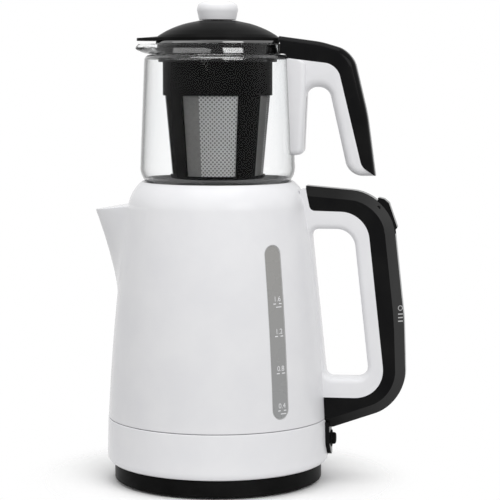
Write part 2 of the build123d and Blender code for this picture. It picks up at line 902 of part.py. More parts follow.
def skirt_radius_at(height):
    share = (height - skirt_low) / skirt_height
    return skirt_radius + share * (skirt_top_radius - skirt_radius)


tongue_face = skirt_radius_at(button_z) + tongue_thickness
button_back = tongue_face - button_depth
button_stem_end = button_back - button_stem_length
button_switch_face = button_back - button_travel - 2 * slide_gap


def make_button():
    cap = rod_x(button_radius, button_back, tongue_face + button_proud, button_z)
    cap = fillet(cap.edges().sort_by(Axis.X)[-1], button_edge_round)
    return cap + rod_x(button_stem_radius, button_stem_end, button_back, button_z)


def make_bezel():
    outer = button_radius + slide_gap + bezel_width
    face = rod_x(outer, tongue_face - bezel_depth, tongue_face + bezel_proud, button_z)
    return face - button_hole(button_radius + slide_gap)


def make_button_switch():
    case = block(
        button_switch_face - button_switch_length, button_switch_face, button_switch_half_width,
        underside_top, button_z + button_switch_above,
    )
    return case - rod_x(
        button_stem_radius + slide_gap, button_stem_end - button_travel - slide_gap,
        button_switch_face + overrun, button_z,
    )


# Heating plate, element, control and plug

element_low = heating_low - element_height
control_top = element_low - element_pin_length
control_low = control_top - control_height
plug_roof = socket_top + plug_roof_gap
floor_inner = seam_radius - body_wall - floor_flange_width


def make_plate_seal():
    return ring(floor_inner + plate_seal_side_gap, floor_inner + plate_seal_width, floor_top, heating_low)


def make_heating_plate():
    return post(floor_inner + plate_seal_width - plate_seal_side_gap, heating_low, heating_top)


def make_heating_element():
    inner = element_radius - element_width / 2
    outer = element_radius + element_width / 2
    section = outline(
        (inner, element_low, element_round), (outer, element_low, element_round),
        (outer, heating_low), (inner, heating_low),
    )
    return Rot(0, 0, (full_turn - element_arc) / 2) * turned(section, element_arc)


def make_element_pins():
    end = (full_turn - element_arc) / 2 + math.degrees(element_width / 2 / element_radius)
    pin = Pos(element_radius, 0, 0) * post(element_pin_radius, control_top, element_low)
    return Rot(0, 0, end) * pin, Rot(0, 0, -end) * pin


def make_control_block():
    plan = Pos((control_front - control_back) / 2, 0) * RectangleRounded(
        control_front + control_back, 2 * control_half_width, control_round
    )
    control = Pos(0, 0, control_low) * extrude(plan, control_height)
    disc_low = heating_low - seat_gap - bimetal_thickness
    for side in (1, -1):
        leg = post(control_post_radius, control_top, heating_low, -control_post_x, side * control_post_y)
        disc_seat = post(bimetal_radius, control_top, disc_low, bimetal_x, side * bimetal_y)
        control = control + leg + disc_seat
    return control


def make_bimetal_discs():
    high = heating_low - seat_gap
    low = high - bimetal_thickness
    return [post(bimetal_radius, low, high, bimetal_x, side * bimetal_y) for side in (1, -1)]


def make_kettle_plug():
    plug = post(plug_radius, underside_low, control_low)
    plug = plug + post(plug_radius + plug_flange, underside_top, underside_top + plug_flange_thickness)
    return plug - post(socket_radius + plug_mouth_gap, underside_low - overrun, plug_roof)


def make_plug_pins():
    low = socket_top - socket_slot_depth + pin_end_gap
    centre = post(pin_radius, low, plug_roof)
    sleeve = ring(socket_slot_radius, socket_slot_radius + pin_sleeve_thickness, low, plug_roof)
    return centre, sleeve


def make_feet():
    """A ring of feet, and a pad under the socket that takes the push when the kettle is set down."""
    foot = post(foot_radius, 0.0, base_plate_low)
    return [foot] + around(Pos(foot_circle, 0, 0) * foot, foot_count)


def make_base_screws():
    return base_screw_place(screw(base_plate_low + base_plate_recess))


# Glass teapot

def glass_form(grow):
    """Outer form of the glass, with its sides moved out by the amount given."""
    return turned(outline(
        (0.0, glass_low), (glass_radius + grow, glass_low, glass_corner_round),
        (glass_top_radius + grow, glass_shoulder + grow, glass_shoulder_round),
        (neck_radius + grow, glass_shoulder + grow, neck_root_round),
        (neck_radius + grow, glass_shoulder + neck_length), (neck_radius + rim_flare + grow, glass_top),
        (0.0, glass_top),
    ))


def beak_plan(radius, reach, nose):
    """Round plan with a pointed beak towards -X, its sides tangent to both rounds."""
    centre = nose - reach
    spread = math.acos((radius - nose) / (reach - nose))
    across = -math.cos(spread)
    aside = math.sin(spread)
    web = outline(
        (radius * across, radius * aside), (centre + nose * across, nose * aside),
        (centre + nose * across, -nose * aside), (radius * across, -radius * aside),
    )
    return Circle(radius) + web + Pos(centre, 0) * Circle(nose)


def make_glass():
    outer = glass_form(0.0)
    inner = turned(outline(
        (0.0, glass_low + glass_wall),
        (glass_radius - glass_wall, glass_low + glass_wall, glass_corner_round - glass_wall),
        (glass_top_radius - glass_wall, glass_shoulder - glass_wall, glass_shoulder_round - glass_wall),
        (neck_inner_radius, glass_shoulder - glass_wall), (neck_inner_radius, glass_top + overrun),
        (0.0, glass_top + overrun),
    ))
    lip = Pos(0, 0, glass_top - lip_depth) * extrude(
        beak_plan(neck_inner_radius + neck_wall / 2, lip_reach, lip_nose_round), lip_depth
    )
    channel = Pos(0, 0, glass_top - lip_depth + neck_wall) * extrude(
        beak_plan(neck_inner_radius, lip_reach - neck_wall, lip_nose_round - neck_wall), lip_depth
    )
    return outer + lip - inner - channel


# Teapot handle

def pot_handle_point(across_share, up_share):
    return pot_handle_front + across_share * pot_handle_reach, pot_handle_low + up_share * pot_handle_height


pot_split_corners = fitted(pot_split_shares, pot_split_rounds, pot_handle_point)
pot_bar_low = pot_handle_point(0.0, pot_bar_low_share)[1]
pot_bar_low_x = glass_radius + pot_bar_low_thickness
pot_arm_low = pot_handle_point(*pot_grip_shares[1])[1]
pot_bar_high_x = glass_top_radius + pot_bar_high_thickness


def pot_neck_room():
    """Room around the neck, the rim and the lid."""
    room = post(neck_radius + rim_flare + pot_handle_neck_gap, glass_shoulder, knob_top)
    return glass_form(bond_thickness) + room


def make_pot_handle():
    grip = fitted(pot_grip_shares, pot_grip_rounds, pot_handle_point)
    bar = [
        (pot_bar_high_x, pot_arm_low, pot_bar_high_round), (pot_bar_low_x, pot_bar_low, pot_bar_low_round),
        (pot_handle_front, pot_bar_low, 0.0),
    ]
    handle = upright(outline(*pot_split_corners, *grip, *bar), pot_handle_half_width)
    saddle = upright(outline(
        (pot_handle_front, pot_bar_low), (pot_bar_low_x, pot_bar_low, pot_bar_low_round),
        (pot_bar_high_x, pot_arm_low), (pot_bar_high_x, glass_shoulder), (pot_handle_front, glass_shoulder),
    ), pot_bar_half_width)
    return handle + (saddle - pot_cover_form(pot_bar_half_width)) - pot_neck_room()


def pot_cover_form(half_width):
    outer = fitted(pot_outer_shares, pot_outer_rounds, pot_handle_point)
    return upright(outline(*outer, *reversed(pot_split_corners)), half_width)


def make_pot_cover():
    return pot_cover_form(pot_handle_half_width) - pot_neck_room()


def make_bond():
    """Adhesive pad between the glass and the handle's bar."""
    pad = block(
        0.0, skirt_radius, pot_bar_half_width - bond_margin, pot_bar_low + bond_margin, pot_arm_low,
    )
    return (glass_form(bond_thickness - seat_gap) & pad) - glass_form(0.0)


# Strainer

strainer_collar_low = glass_top - strainer_collar_depth
strainer_collar_radius = neck_inner_radius - slide_gap
strainer_band_low = strainer_collar_low - strainer_band_height
strainer_low = glass_top - strainer_depth
strainer_taper = strainer_band_low - strainer_low


def strainer_cone(inset, low, high):
    """Tapered form of the strainer below its band."""
    slope = (strainer_band_radius - strainer_low_radius) / strainer_taper
    low_radius = strainer_low_radius + slope * (low - strainer_low) - inset
    high_radius = strainer_low_radius + slope * (high - strainer_low) - inset
    return turned(outline((0.0, low), (low_radius, low), (high_radius, high), (0.0, high)))


def strainer_windows():
    low = strainer_low + strainer_window_low_share * strainer_taper
    high = strainer_low + strainer_window_high_share * strainer_taper
    middle = strainer_low_radius / 2
    wedge = turned(outline(
        (middle, low), (neck_radius, low), (neck_radius, high), (middle, high),
    ), strainer_window_angle)
    return around(wedge, strainer_window_count, quarter_turn - strainer_window_angle / 2)


def make_strainer_frame():
    collar_inner = strainer_collar_radius - strainer_collar_wall
    band_inner = strainer_band_radius - strainer_wall
    shelf = strainer_collar_low + strainer_wall
    frame = turned(outline(
        (collar_inner, strainer_top), (strainer_rim_radius, strainer_top), (strainer_rim_radius, glass_top),
        (strainer_collar_radius, glass_top), (strainer_collar_radius, strainer_collar_low),
        (strainer_band_radius, strainer_collar_low), (strainer_band_radius, strainer_band_low),
        (band_inner, strainer_band_low), (band_inner, shelf), (collar_inner, shelf),
    ))
    floor = strainer_low + strainer_floor_thickness
    taper = strainer_cone(0.0, strainer_low, strainer_band_low)
    taper = taper - strainer_cone(strainer_wall, floor, strainer_band_low)
    for window in strainer_windows():
        taper = taper - window
    return frame + taper


def make_strainer_mesh():
    floor = strainer_low + strainer_floor_thickness
    outer = strainer_wall + seat_gap
    sheet = strainer_cone(outer, floor, strainer_band_low)
    sheet = sheet - strainer_cone(outer + mesh_thickness, floor - overrun, strainer_band_low + overrun)
    holes = []
    span = mesh_hole_high_share - mesh_hole_low_share
    for row in range(mesh_hole_rows):
        share = mesh_hole_low_share + span * (row + 0.5) / mesh_hole_rows
        level = strainer_low + share * strainer_taper
        hole = rod_x(mesh_hole_radius, strainer_low_radius / 2, neck_radius, level)
        for column in range(mesh_hole_columns):
            turn = mesh_hole_angle * ((column + 0.5) / mesh_hole_columns - 0.5)
            holes += around(hole, strainer_window_count, turn)
    return sheet - holes


# Lid

def make_lid():
    plan = beak_plan(brim_radius, brim_tip_reach, brim_tip_round)
    brim = Pos(0, 0, strainer_top) * extrude(plan, brim_thickness)
    dome = turned(dome_face(0.0)) - turned(dome_face(dome_thickness))
    inner = strainer_collar_radius - strainer_collar_wall - slide_gap
    hollow = post(inner - lid_skirt_thickness, strainer_top - overrun, brim_top)
    skirt = ring(inner - lid_skirt_thickness, inner, strainer_top - lid_skirt_depth, strainer_top)
    boss = post(knob_post_radius, brim_top + dome_height / 2, dome_top) & turned(dome_face(0.0))
    screw_hole = post(screw_shank + seat_gap, strainer_top, knob_top)
    return brim - hollow + dome + skirt + boss - screw_hole


def dome_face(inset):
    """Half section of the dome, moved in by the amount given."""
    foot = (dome_radius - inset, brim_top)
    edge = (dome_radius - inset, brim_top + dome_edge)
    middle_level = brim_top + dome_mid_height_share * dome_height
    middle = (dome_mid_radius_share * dome_radius - inset / 2, middle_level - inset)
    crown = (knob_foot_radius, dome_top - inset)
    bow = ThreePointArc(edge, middle, crown)
    rest = Polyline(crown, (0.0, dome_top - inset), (0.0, brim_top), foot, edge)
    return make_face(bow + rest)


def make_knob():
    edge = knob_top - knob_edge_drop
    knob = turned(outline(
        (0.0, knob_low), (knob_foot_radius, knob_low), (knob_radius, edge, knob_edge_round), (0.0, knob_top),
    ))
    roof = knob_top - knob_edge_round
    hollow = post(knob_foot_radius - knob_wall, knob_low - overrun, roof)
    stem = post(knob_post_radius, dome_top, roof)
    pilot = post(screw_shank + running_gap, dome_top - overrun, dome_top + knob_screw_reach + seat_gap)
    return knob - hollow + stem - pilot


def make_knob_screw():
    low = brim_top + dome_height / 2
    head = post(screw_head, low - screw_head_height, low)
    return head + post(screw_shank, low, dome_top + knob_screw_reach)


os.makedirs(parts_folder, exist_ok=True)

save("base_shell", make_base_shell())
save("base_plate", make_base_plate())
save("base_screws", *make_base_screws())
save("rubber_feet", *make_feet())
save("base_socket", make_base_socket())
save("socket_contacts", *make_socket_contacts())
save("cord_gland", make_gland())

handle_core = make_handle_core()
handle_hollow = handle_pocket()
save("kettle_body", make_kettle_body(handle_core, handle_hollow))
save("handle_cover", make_handle_cover(handle_core, handle_hollow))
save("kettle_skirt", make_kettle_skirt())
save("kettle_underside", make_underside())
save("skirt_screws", *make_skirt_screws())
save("teapot_seat", make_teapot_seat())
save("level_window", make_window())
save("window_seal", make_window_seal())
save("spout_filter_frame", make_filter_frame())
save("spout_filter_mesh", make_filter_mesh())
save("heating_plate", make_heating_plate())
save("plate_seal", make_plate_seal())
save("heating_element", make_heating_element())
save("element_pins", *make_element_pins())
save("control_block", make_control_block())
save("bimetal_discs", *make_bimetal_discs())
save("kettle_plug", make_kettle_plug())
save("plug_pins", *make_plug_pins())
save("steam_switch", make_steam_switch())
save("steam_grommet", make_steam_grommet())
save("lever_pin", make_lever_pin())
save("boil_lever", make_boil_lever())
save("button_bezel", make_bezel())
save("button_switch", make_button_switch())
save("keep_warm_button", make_button())

save("teapot_glass", make_glass())
save("teapot_handle", make_pot_handle())
save("teapot_handle_cover", make_pot_cover())
save("handle_bond", make_bond())
save("strainer_frame", make_strainer_frame())
save("strainer_mesh", make_strainer_mesh())
save("lid_dome", make_lid())
save("lid_knob", make_knob())
save("knob_screw", make_knob_screw())
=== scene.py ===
import json
import math

import bmesh
import bpy
from mathutils import Matrix, Vector


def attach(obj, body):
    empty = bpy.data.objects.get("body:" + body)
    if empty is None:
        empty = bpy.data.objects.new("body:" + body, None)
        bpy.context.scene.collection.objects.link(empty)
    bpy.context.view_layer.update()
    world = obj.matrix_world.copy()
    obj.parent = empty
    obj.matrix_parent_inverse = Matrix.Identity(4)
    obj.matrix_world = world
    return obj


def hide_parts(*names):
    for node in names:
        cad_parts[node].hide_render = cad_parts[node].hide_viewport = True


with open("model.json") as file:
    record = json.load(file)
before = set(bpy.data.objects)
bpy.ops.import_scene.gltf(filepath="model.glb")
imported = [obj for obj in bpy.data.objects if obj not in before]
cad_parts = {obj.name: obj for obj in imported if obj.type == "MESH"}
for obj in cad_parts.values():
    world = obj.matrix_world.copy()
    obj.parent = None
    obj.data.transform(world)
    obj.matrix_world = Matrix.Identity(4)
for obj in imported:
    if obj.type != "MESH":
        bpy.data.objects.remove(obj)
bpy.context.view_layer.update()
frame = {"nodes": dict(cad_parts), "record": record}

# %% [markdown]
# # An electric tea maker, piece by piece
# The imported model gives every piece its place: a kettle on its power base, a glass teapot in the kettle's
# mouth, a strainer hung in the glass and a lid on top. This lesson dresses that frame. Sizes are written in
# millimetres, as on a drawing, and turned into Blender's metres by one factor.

MM = 0.001
nodes = frame["nodes"]

# %% [markdown]
# ## A camera like the photographer's
# A product picture is taken with a long lens from a little above, so that uprights stay nearly parallel. The
# camera stands about 1.4 m away, slightly to the handle's side. Its place was fitted to outlines of the real
# picture, so that every piece can be compared where it lies.

# %% Camera
image_width_px = 500
focal_px = 1852.0
lens_data = bpy.data.cameras.new("studio_camera")
lens_data.sensor_width = 36.0
lens_data.lens = focal_px / image_width_px * lens_data.sensor_width
camera = bpy.data.objects.new("studio_camera", lens_data)
bpy.context.scene.collection.objects.link(camera)
camera.location = Vector((222.9, -1408.0, 317.1)) * MM
camera.rotation_euler = Vector((-0.1385, 0.9856, -0.0969)).to_track_quat("-Z", "Y").to_euler()
bpy.context.scene.camera = camera
print("camera lens", round(lens_data.lens, 1), "mm")

# %% [markdown]
# ## Small tools for modelling
# Most pieces of a kettle are turned or cut from a plate. So two moves do most of the work: round the corners of
# a few points, then spin them about the axis or give them a depth. A vertex bevel rounds a corner just as a
# fillet does on a drawing; its offset is the distance from the corner to where the curve starts.

# %% Rounded outlines
small_corner, small_corner_steps, wide_corner_steps = 5.0, 4, 12
same_place = 1e-6


def corner_reach(before, here, after, radius):
    """How far from a corner a curve of this radius starts."""
    first = (here - before).normalized()
    second = (after - here).normalized()
    return radius * math.tan(first.angle(second) / 2)


def outline(bm, corners, depth=0.0, closed=True, steps=0):
    """Edges through corners of (x, z, radius) in the plane y = depth, with the corners rounded."""
    old_edges = set(bm.edges)
    places = [Vector((x, depth, z)) * MM for x, z, radius in corners]
    verts = [bm.verts.new(place) for place in places]
    count = len(verts)
    for index in range(count if closed else count - 1):
        bm.edges.new((verts[index], verts[(index + 1) % count]))
    for index, (x, z, radius) in enumerate(corners):
        if radius == 0.0:
            continue
        reach = corner_reach(places[index - 1], places[index], places[(index + 1) % count], radius * MM)
        parts = steps or (small_corner_steps if radius < small_corner else wide_corner_steps)
        bmesh.ops.bevel(bm, geom=[verts[index]], offset=reach, offset_type="OFFSET", segments=parts,
                        profile=0.5, affect="VERTICES", clamp_overlap=False, material=-1)
    return [edge for edge in bm.edges if edge not in old_edges]


def spin_round(bm, steps, axis=(0.0, 0.0, 1.0)):
    """Spins everything in the mesh once round an axis and closes the seam."""
    bmesh.ops.spin(bm, geom=bm.verts[:] + bm.edges[:], cent=(0, 0, 0), axis=axis, dvec=(0, 0, 0),
                   angle=2 * math.pi, steps=steps, use_merge=True)
    bmesh.ops.remove_doubles(bm, verts=bm.verts, dist=same_place)
    bmesh.ops.recalc_face_normals(bm, faces=bm.faces)


def thicken(bm, vec):
    """Pushes a copy of all faces along a vector, so that a flat shape becomes a plate."""
    push = bmesh.ops.extrude_face_region(bm, geom=bm.faces[:])
    far = [item for item in push["geom"] if isinstance(item, bmesh.types.BMVert)]
    bmesh.ops.translate(bm, verts=far, vec=vec)
    bmesh.ops.recalc_face_normals(bm, faces=bm.faces)


def join_into(bm, part):
    """Adds a mesh to another one and frees it."""
    mesh = bpy.data.meshes.new("part")
    part.to_mesh(mesh)
    part.free()
    bm.from_mesh(mesh)
    bpy.data.meshes.remove(mesh)


print("outline tools ready")

# %% [markdown]
# A finished mesh becomes an object, rides on a body of the frame and takes the finish it is given.
# Faces are shaded smooth, and edges sharper than a set angle stay crisp.

# %% From mesh to piece
def to_object(name, bm):
    """Turns a mesh into an object in the scene."""
    mesh = bpy.data.meshes.new(name)
    bm.to_mesh(mesh)
    bm.free()
    made = bpy.data.objects.new(name, mesh)
    bpy.context.scene.collection.objects.link(made)
    return made


def piece(name, bm, body, material, crisp=35.0, stands_for=()):
    """Turns a mesh into an object that rides on a body and stands for nodes of the frame."""
    for face in bm.faces:
        face.smooth = True
    made = to_object(name, bm)
    made.data.set_sharp_from_angle(angle=math.radians(crisp))
    made.data.materials.append(material)
    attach(made, body)
    if stands_for:
        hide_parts(*stands_for)
    print(name, len(made.data.polygons), "faces")
    return made


def soften(made, width, steps=3, angle=30.0):
    """Rounds every edge that is sharper than the angle."""
    bevel = made.modifiers.new("soft_edges", "BEVEL")
    bevel.width = width * MM
    bevel.segments = steps
    bevel.limit_method = "ANGLE"
    bevel.angle_limit = math.radians(angle)


def finished_mesh(made):
    """A mesh of what an object looks like with its modifiers, or of a line of text."""
    bpy.context.view_layer.update()
    return bpy.data.meshes.new_from_object(made.evaluated_get(bpy.context.evaluated_depsgraph_get()))


def carve(made, tool, crisp=None):
    """Cuts a tool's shape out of a piece, keeps the result and removes the tool."""
    cut = made.modifiers.new("cut", "BOOLEAN")
    cut.operation = "DIFFERENCE"
    cut.solver = "EXACT"
    cut.object = tool
    mesh = finished_mesh(made)
    made.modifiers.clear()
    old = made.data
    made.data = mesh
    mesh.name = made.name
    bpy.data.meshes.remove(old)
    bpy.data.objects.remove(tool)
    if crisp:
        mesh.set_sharp_from_angle(angle=math.radians(crisp))


print("piece tools ready")

# %% [markdown]
# ## Finishes
# Moulded plastic is never one flat colour: the gloss varies a little from place to place, and very fine
# unevenness breaks up the reflections. Noise on object coordinates gives both, so the pattern stays with the
# piece wherever it moves. The mirror value says how strongly a finish mirrors the room: in an all-white room it
# is kept low, or black would look grey.

# %% Node helpers
skin_depth = 0.2 * MM


def new_material(name):
    """A node material, with its tree, its shader and its coordinates."""
    material = bpy.data.materials.new(name)
    material.use_nodes = True
    tree = material.node_tree
    shader = tree.nodes["Principled BSDF"]
    coords = tree.nodes.new("ShaderNodeTexCoord")
    return material, tree, shader, coords


def set_inputs(node, values):
    """Gives fixed values to some of a node's inputs."""
    for name, value in values.items():
        node.inputs[name].default_value = value


def noise(tree, vector, scale, detail=3.0):
    """Soft noise, mostly between 0.3 and 0.7."""
    node = tree.nodes.new("ShaderNodeTexNoise")
    set_inputs(node, {"Scale": scale, "Detail": detail})
    tree.links.new(vector, node.inputs["Vector"])
    return node.outputs["Fac"]


def ramp(tree, factor, low, high, start=0.35, end=0.65):
    """A colour between two tones."""
    node = tree.nodes.new("ShaderNodeValToRGB")
    for element, place, tone in zip(node.color_ramp.elements, (start, end), (low, high)):
        element.position = place
        element.color = (*tone, 1.0)
    tree.links.new(factor, node.inputs["Fac"])
    return node.outputs["Color"]


def span(tree, factor, low, high, start=0.3, end=0.7):
    """A number between two others."""
    node = tree.nodes.new("ShaderNodeMapRange")
    set_inputs(node, {"From Min": start, "From Max": end, "To Min": low, "To Max": high})
    tree.links.new(factor, node.inputs["Value"])
    return node.outputs["Result"]


def calculated(tree, operation, *values):
    """A Math node fed by numbers and other nodes' outputs."""
    node = tree.nodes.new("ShaderNodeMath")
    node.operation = operation
    for socket, value in zip(node.inputs, values):
        if isinstance(value, (int, float)):
            socket.default_value = value
        else:
            tree.links.new(value, socket)
    return node.outputs["Value"]


def rise_along(tree, vector, axis, start, end):
    """Rises from 0 to 1 along one axis, between two places in millimetres."""
    split = tree.nodes.new("ShaderNodeSeparateXYZ")
    tree.links.new(vector, split.inputs["Vector"])
    return span(tree, split.outputs[axis], 0.0, 1.0, start * MM, end * MM)


def bump(tree, shader, factor, strength, distance=skin_depth):
    """Makes a surface a little uneven."""
    node = tree.nodes.new("ShaderNodeBump")
    set_inputs(node, {"Strength": strength, "Distance": distance})
    tree.links.new(factor, node.inputs["Height"])
    tree.links.new(node.outputs["Normal"], shader.inputs["Normal"])


print("node helpers ready")

# %% Plastics
patch_scale, skin_scale = 35.0, 900.0


def plastic(name, low, high, gloss_low, gloss_high, grain=skin_scale, grain_strength=0.03, mirror=0.5, ior=1.5):
    """Moulded plastic: two close tones, uneven gloss and a fine skin."""
    material, tree, shader, coords = new_material(name)
    vector = coords.outputs["Object"]
    cloud = noise(tree, vector, patch_scale)
    tree.links.new(ramp(tree, cloud, low, high), shader.inputs["Base Color"])
    tree.links.new(span(tree, cloud, gloss_low, gloss_high), shader.inputs["Roughness"])
    set_inputs(shader, {"Specular IOR Level": mirror, "IOR": ior})
    bump(tree, shader, noise(tree, vector, grain), grain_strength)
    return material


white_gloss = plastic("white_gloss_plastic", (0.80, 0.80, 0.82), (0.83, 0.83, 0.845), 0.20, 0.26,
                      grain_strength=0.015, mirror=0.15)
black_gloss = plastic("black_gloss_plastic", (0.0045, 0.0045, 0.005), (0.008, 0.008, 0.008), 0.12, 0.18,
                      grain_strength=0.006, mirror=0.05)
collar_gloss = plastic("collar_gloss_plastic", (0.004, 0.004, 0.004), (0.006, 0.006, 0.006), 0.04, 0.07,
                       grain_strength=0.002, mirror=1.0, ior=1.7)
base_satin = plastic("base_satin_plastic", (0.005, 0.005, 0.005), (0.009, 0.009, 0.009), 0.3, 0.38, grain=1500.0,
                     grain_strength=0.05, mirror=0.02)
black_satin = plastic("black_satin_plastic", (0.006, 0.006, 0.006), (0.011, 0.011, 0.011), 0.28, 0.36,
                      grain=1500.0, grain_strength=0.06, mirror=0.012)


def sheen_painted_edge_material():
    """Black plastic with a painted sheen that grows paler towards the back of the grip."""
    material, tree, shader, coords = new_material("chamfer_satin_plastic")
    vector = coords.outputs["Object"]
    cloud = noise(tree, vector, patch_scale)
    # Painted sheen: the tone rises along X towards the back of the grip and stands in for lamp light on the chamfer.
    sheen_rise = calculated(tree, "MULTIPLY_ADD", cloud, 0.08, rise_along(tree, vector, "X", 92.0, 140.0))
    tree.links.new(ramp(tree, sheen_rise, (0.007, 0.007, 0.007), (0.042, 0.042, 0.042), 0.0, 1.0),
                   shader.inputs["Base Color"])
    tree.links.new(span(tree, cloud, 0.38, 0.44), shader.inputs["Roughness"])
    set_inputs(shader, {"Specular IOR Level": 0.08})
    bump(tree, shader, noise(tree, vector, skin_scale), 0.01)
    return material


chamfer_painted_sheen = sheen_painted_edge_material()
dark_matt = plastic("dark_matt_plastic", (0.03, 0.03, 0.032), (0.045, 0.045, 0.045), 0.5, 0.6, grain_strength=0.1)
black_rubber = plastic("black_rubber", (0.01, 0.01, 0.01), (0.018, 0.018, 0.018), 0.65, 0.8, grain=600.0,
                       grain_strength=0.2)
pale_seal = plastic("pale_seal_rubber", (0.42, 0.42, 0.42), (0.5, 0.5, 0.5), 0.45, 0.6, grain_strength=0.08)
print("plastics ready")

# %% [markdown]
# Steel sheet shows the lines of its brushing, so its noise is stretched along one direction. Brass and cast
# aluminium are the same recipe with other tones. They show only in and under the kettle; the strainer's sheet
# has a recipe of its own further on.

# %% Metals
def metal(name, low, high, gloss_low, gloss_high, stretch=(1.0, 1.0, 0.06), scale=400.0):
    """Metal with two close tones and uneven gloss, both drawn out along its lines."""
    material, tree, shader, coords = new_material(name)
    mapping = tree.nodes.new("ShaderNodeMapping")
    set_inputs(mapping, {"Scale": stretch})
    tree.links.new(coords.outputs["Object"], mapping.inputs["Vector"])
    lines = noise(tree, mapping.outputs["Vector"], scale)
    tree.links.new(ramp(tree, lines, low, high), shader.inputs["Base Color"])
    tree.links.new(span(tree, lines, gloss_low, gloss_high), shader.inputs["Roughness"])
    set_inputs(shader, {"Metallic": 1.0})
    bump(tree, shader, lines, 0.04)
    return material


brushed_steel = metal("brushed_steel", (0.50, 0.49, 0.48), (0.62, 0.61, 0.60), 0.28, 0.40)
cast_aluminium = metal("cast_aluminium", (0.55, 0.55, 0.56), (0.68, 0.68, 0.69), 0.45, 0.6, (1, 1, 1), 250.0)
contact_brass = metal("contact_brass", (0.62, 0.47, 0.20), (0.74, 0.58, 0.28), 0.25, 0.38)
print("metals ready")

# %% [markdown]
# Clear glass gets almost all of its look from what it bends and mirrors. Its tone and polish vary by a trace, as
# in pressed glass, and a dark specular tint keeps the white room from veiling the black strainer behind it. The
# level window is solid smoke-grey plastic, a touch cooler at its foot than at its top.

# %% Glass and window
def clear_glass_material():
    material, tree, shader, coords = new_material("clear_glass")
    vector = coords.outputs["Object"]
    slow = noise(tree, vector, 14.0)
    tree.links.new(ramp(tree, slow, (0.975, 0.985, 0.99), (1.0, 1.0, 1.0)), shader.inputs["Base Color"])
    tree.links.new(span(tree, slow, 0.0, 0.012), shader.inputs["Roughness"])
    set_inputs(shader, {"Transmission Weight": 1.0, "IOR": 1.47, "Specular Tint": (0.2, 0.2, 0.2, 1.0)})
    bump(tree, shader, slow, 0.001, distance=2.0 * MM)
    return material


def window_material():
    material, tree, shader, coords = new_material("smoke_window_plastic")
    vector = coords.outputs["Object"]
    mottle = noise(tree, vector, 60.0)
    rise = calculated(tree, "MULTIPLY_ADD", mottle, 0.12, rise_along(tree, vector, "Z", 58.0, 188.0))
    tree.links.new(ramp(tree, rise, (0.30, 0.305, 0.31), (0.31, 0.305, 0.295), 0.0, 1.0), shader.inputs["Base Color"])
    tree.links.new(span(tree, mottle, 0.22, 0.30), shader.inputs["Roughness"])
    bump(tree, shader, noise(tree, vector, 500.0), 0.03)
    return material


clear_glass = clear_glass_material()
smoke_window = window_material()
print("glass and window ready")

# %% [markdown]
# ## The power base
# The base is a low black disc under the kettle, a little smaller than the skirt above it. One section spun
# about the axis makes the shell; the plate, feet, socket and screws of the frame keep their own shapes.

# %% Power base
bm = bmesh.new()
outline(bm, [(14.1, 12.3, 0), (78.0, 12.3, 0), (78.0, 1.5, 0), (80.4, 1.5, 1.6), (80.4, 14.7, 1.2), (14.1, 14.7, 0)])
spin_round(bm, 180)
piece("base_shell_dressed", bm, "power_base", base_satin, stands_for=["base_shell"])

# %% [markdown]
# ## The kettle's skirt
# The skirt is the white band under the seam. Its lower edge rolls in with a wide curve, and its upper edge has
# a small rounding that makes the seam read as a fine dark line with a bright lip below it.

# %% Skirt
skirt_foot, skirt_low, skirt_edge, skirt_top = 86.1, 14.7, 85.3, 49.6
bm = bmesh.new()
outline(bm, [(66.0, skirt_low, 0), (skirt_foot, skirt_low, 6.0), (skirt_edge, skirt_top, 0.7), (81.9, skirt_top, 0),
             (81.9, 53.6, 0), (79.5, 53.6, 0), (79.5, 45.6, 0), (82.7, 41.6, 0), (83.5, 17.3, 3.0), (66.0, 17.3, 0)])
spin_round(bm, 240)
skirt = piece("kettle_skirt_dressed", bm, "kettle", white_gloss, stands_for=["kettle_skirt"])

# %% [markdown]
# ## The kettle's body and spout
# The flank is one long arc, and the shoulder above it a tighter arc that meets it smoothly. The body's section
# is a closed line, outside up and inside down, spun about the axis. The spout is then pulled out of the front:
# every point near it moves away from the axis, most at the nose, and the rows just above stay put. That leaves
# a slanted top, which is inset and pushed down to open the spout.

# %% Body profile
def circle_through(a, b, c):
    """Centre and radius of the circle through three points of (radius, height)."""
    ax, ay = b[0] - a[0], b[1] - a[1]
    bx, by = c[0] - a[0], c[1] - a[1]
    cross = 2 * (ax * by - ay * bx)
    first, second = ax * ax + ay * ay, bx * bx + by * by
    x = (by * first - ay * second) / cross
    y = (ax * second - bx * first) / cross
    return a[0] + x, a[1] + y, math.hypot(x, y)


body_low, body_top, body_wall = 50.1, 231.7, 3.0
body_foot, neck, neck_z, mouth_rim = 85.0, 69.1, 213.1, 58.6
flank_x, flank_z, flank_r = circle_through((body_foot, body_low), (79.8, 124.2), (neck, neck_z))
inward = Vector((flank_x - neck, flank_z - neck_z)).normalized()
to_rim = Vector((mouth_rim - neck, body_top - neck_z))
shoulder_r = to_rim.length_squared / (2 * to_rim.dot(inward))
shoulder_x, shoulder_z = neck + inward.x * shoulder_r, neck_z + inward.y * shoulder_r


def body_radius(z):
    """Outer radius of the kettle at a height, both in millimetres."""
    if z <= neck_z:
        return flank_x + math.sqrt(flank_r ** 2 - (z - flank_z) ** 2)
    return shoulder_x + math.sqrt(max(shoulder_r ** 2 - (z - shoulder_z) ** 2, 0.0))


print("flank radius", round(flank_r), "shoulder radius", round(shoulder_r, 1))

# %% Body section
spout_low, rim_z, ledge_z, inner_low, inner_top = 138.0, 213.2, 213.9, 57.1, 213.0
bm = bmesh.new()
outline(bm, [(body_foot, body_low, 0), (80.0, spout_low, 0), (69.0, rim_z, 0), (68.9, ledge_z, 0),
             (mouth_rim, body_top, 0), (56.3, body_top, 0), (56.3, 229.2, 0), (54.5, 229.2, 0), (54.5, 227.5, 0),
             (66.0, inner_top, 0), (82.0, inner_low, 0), (73.0, inner_low, 0), (73.0, 54.1, 0), (82.0, 54.1, 0),
             (82.0, body_low, 0)])


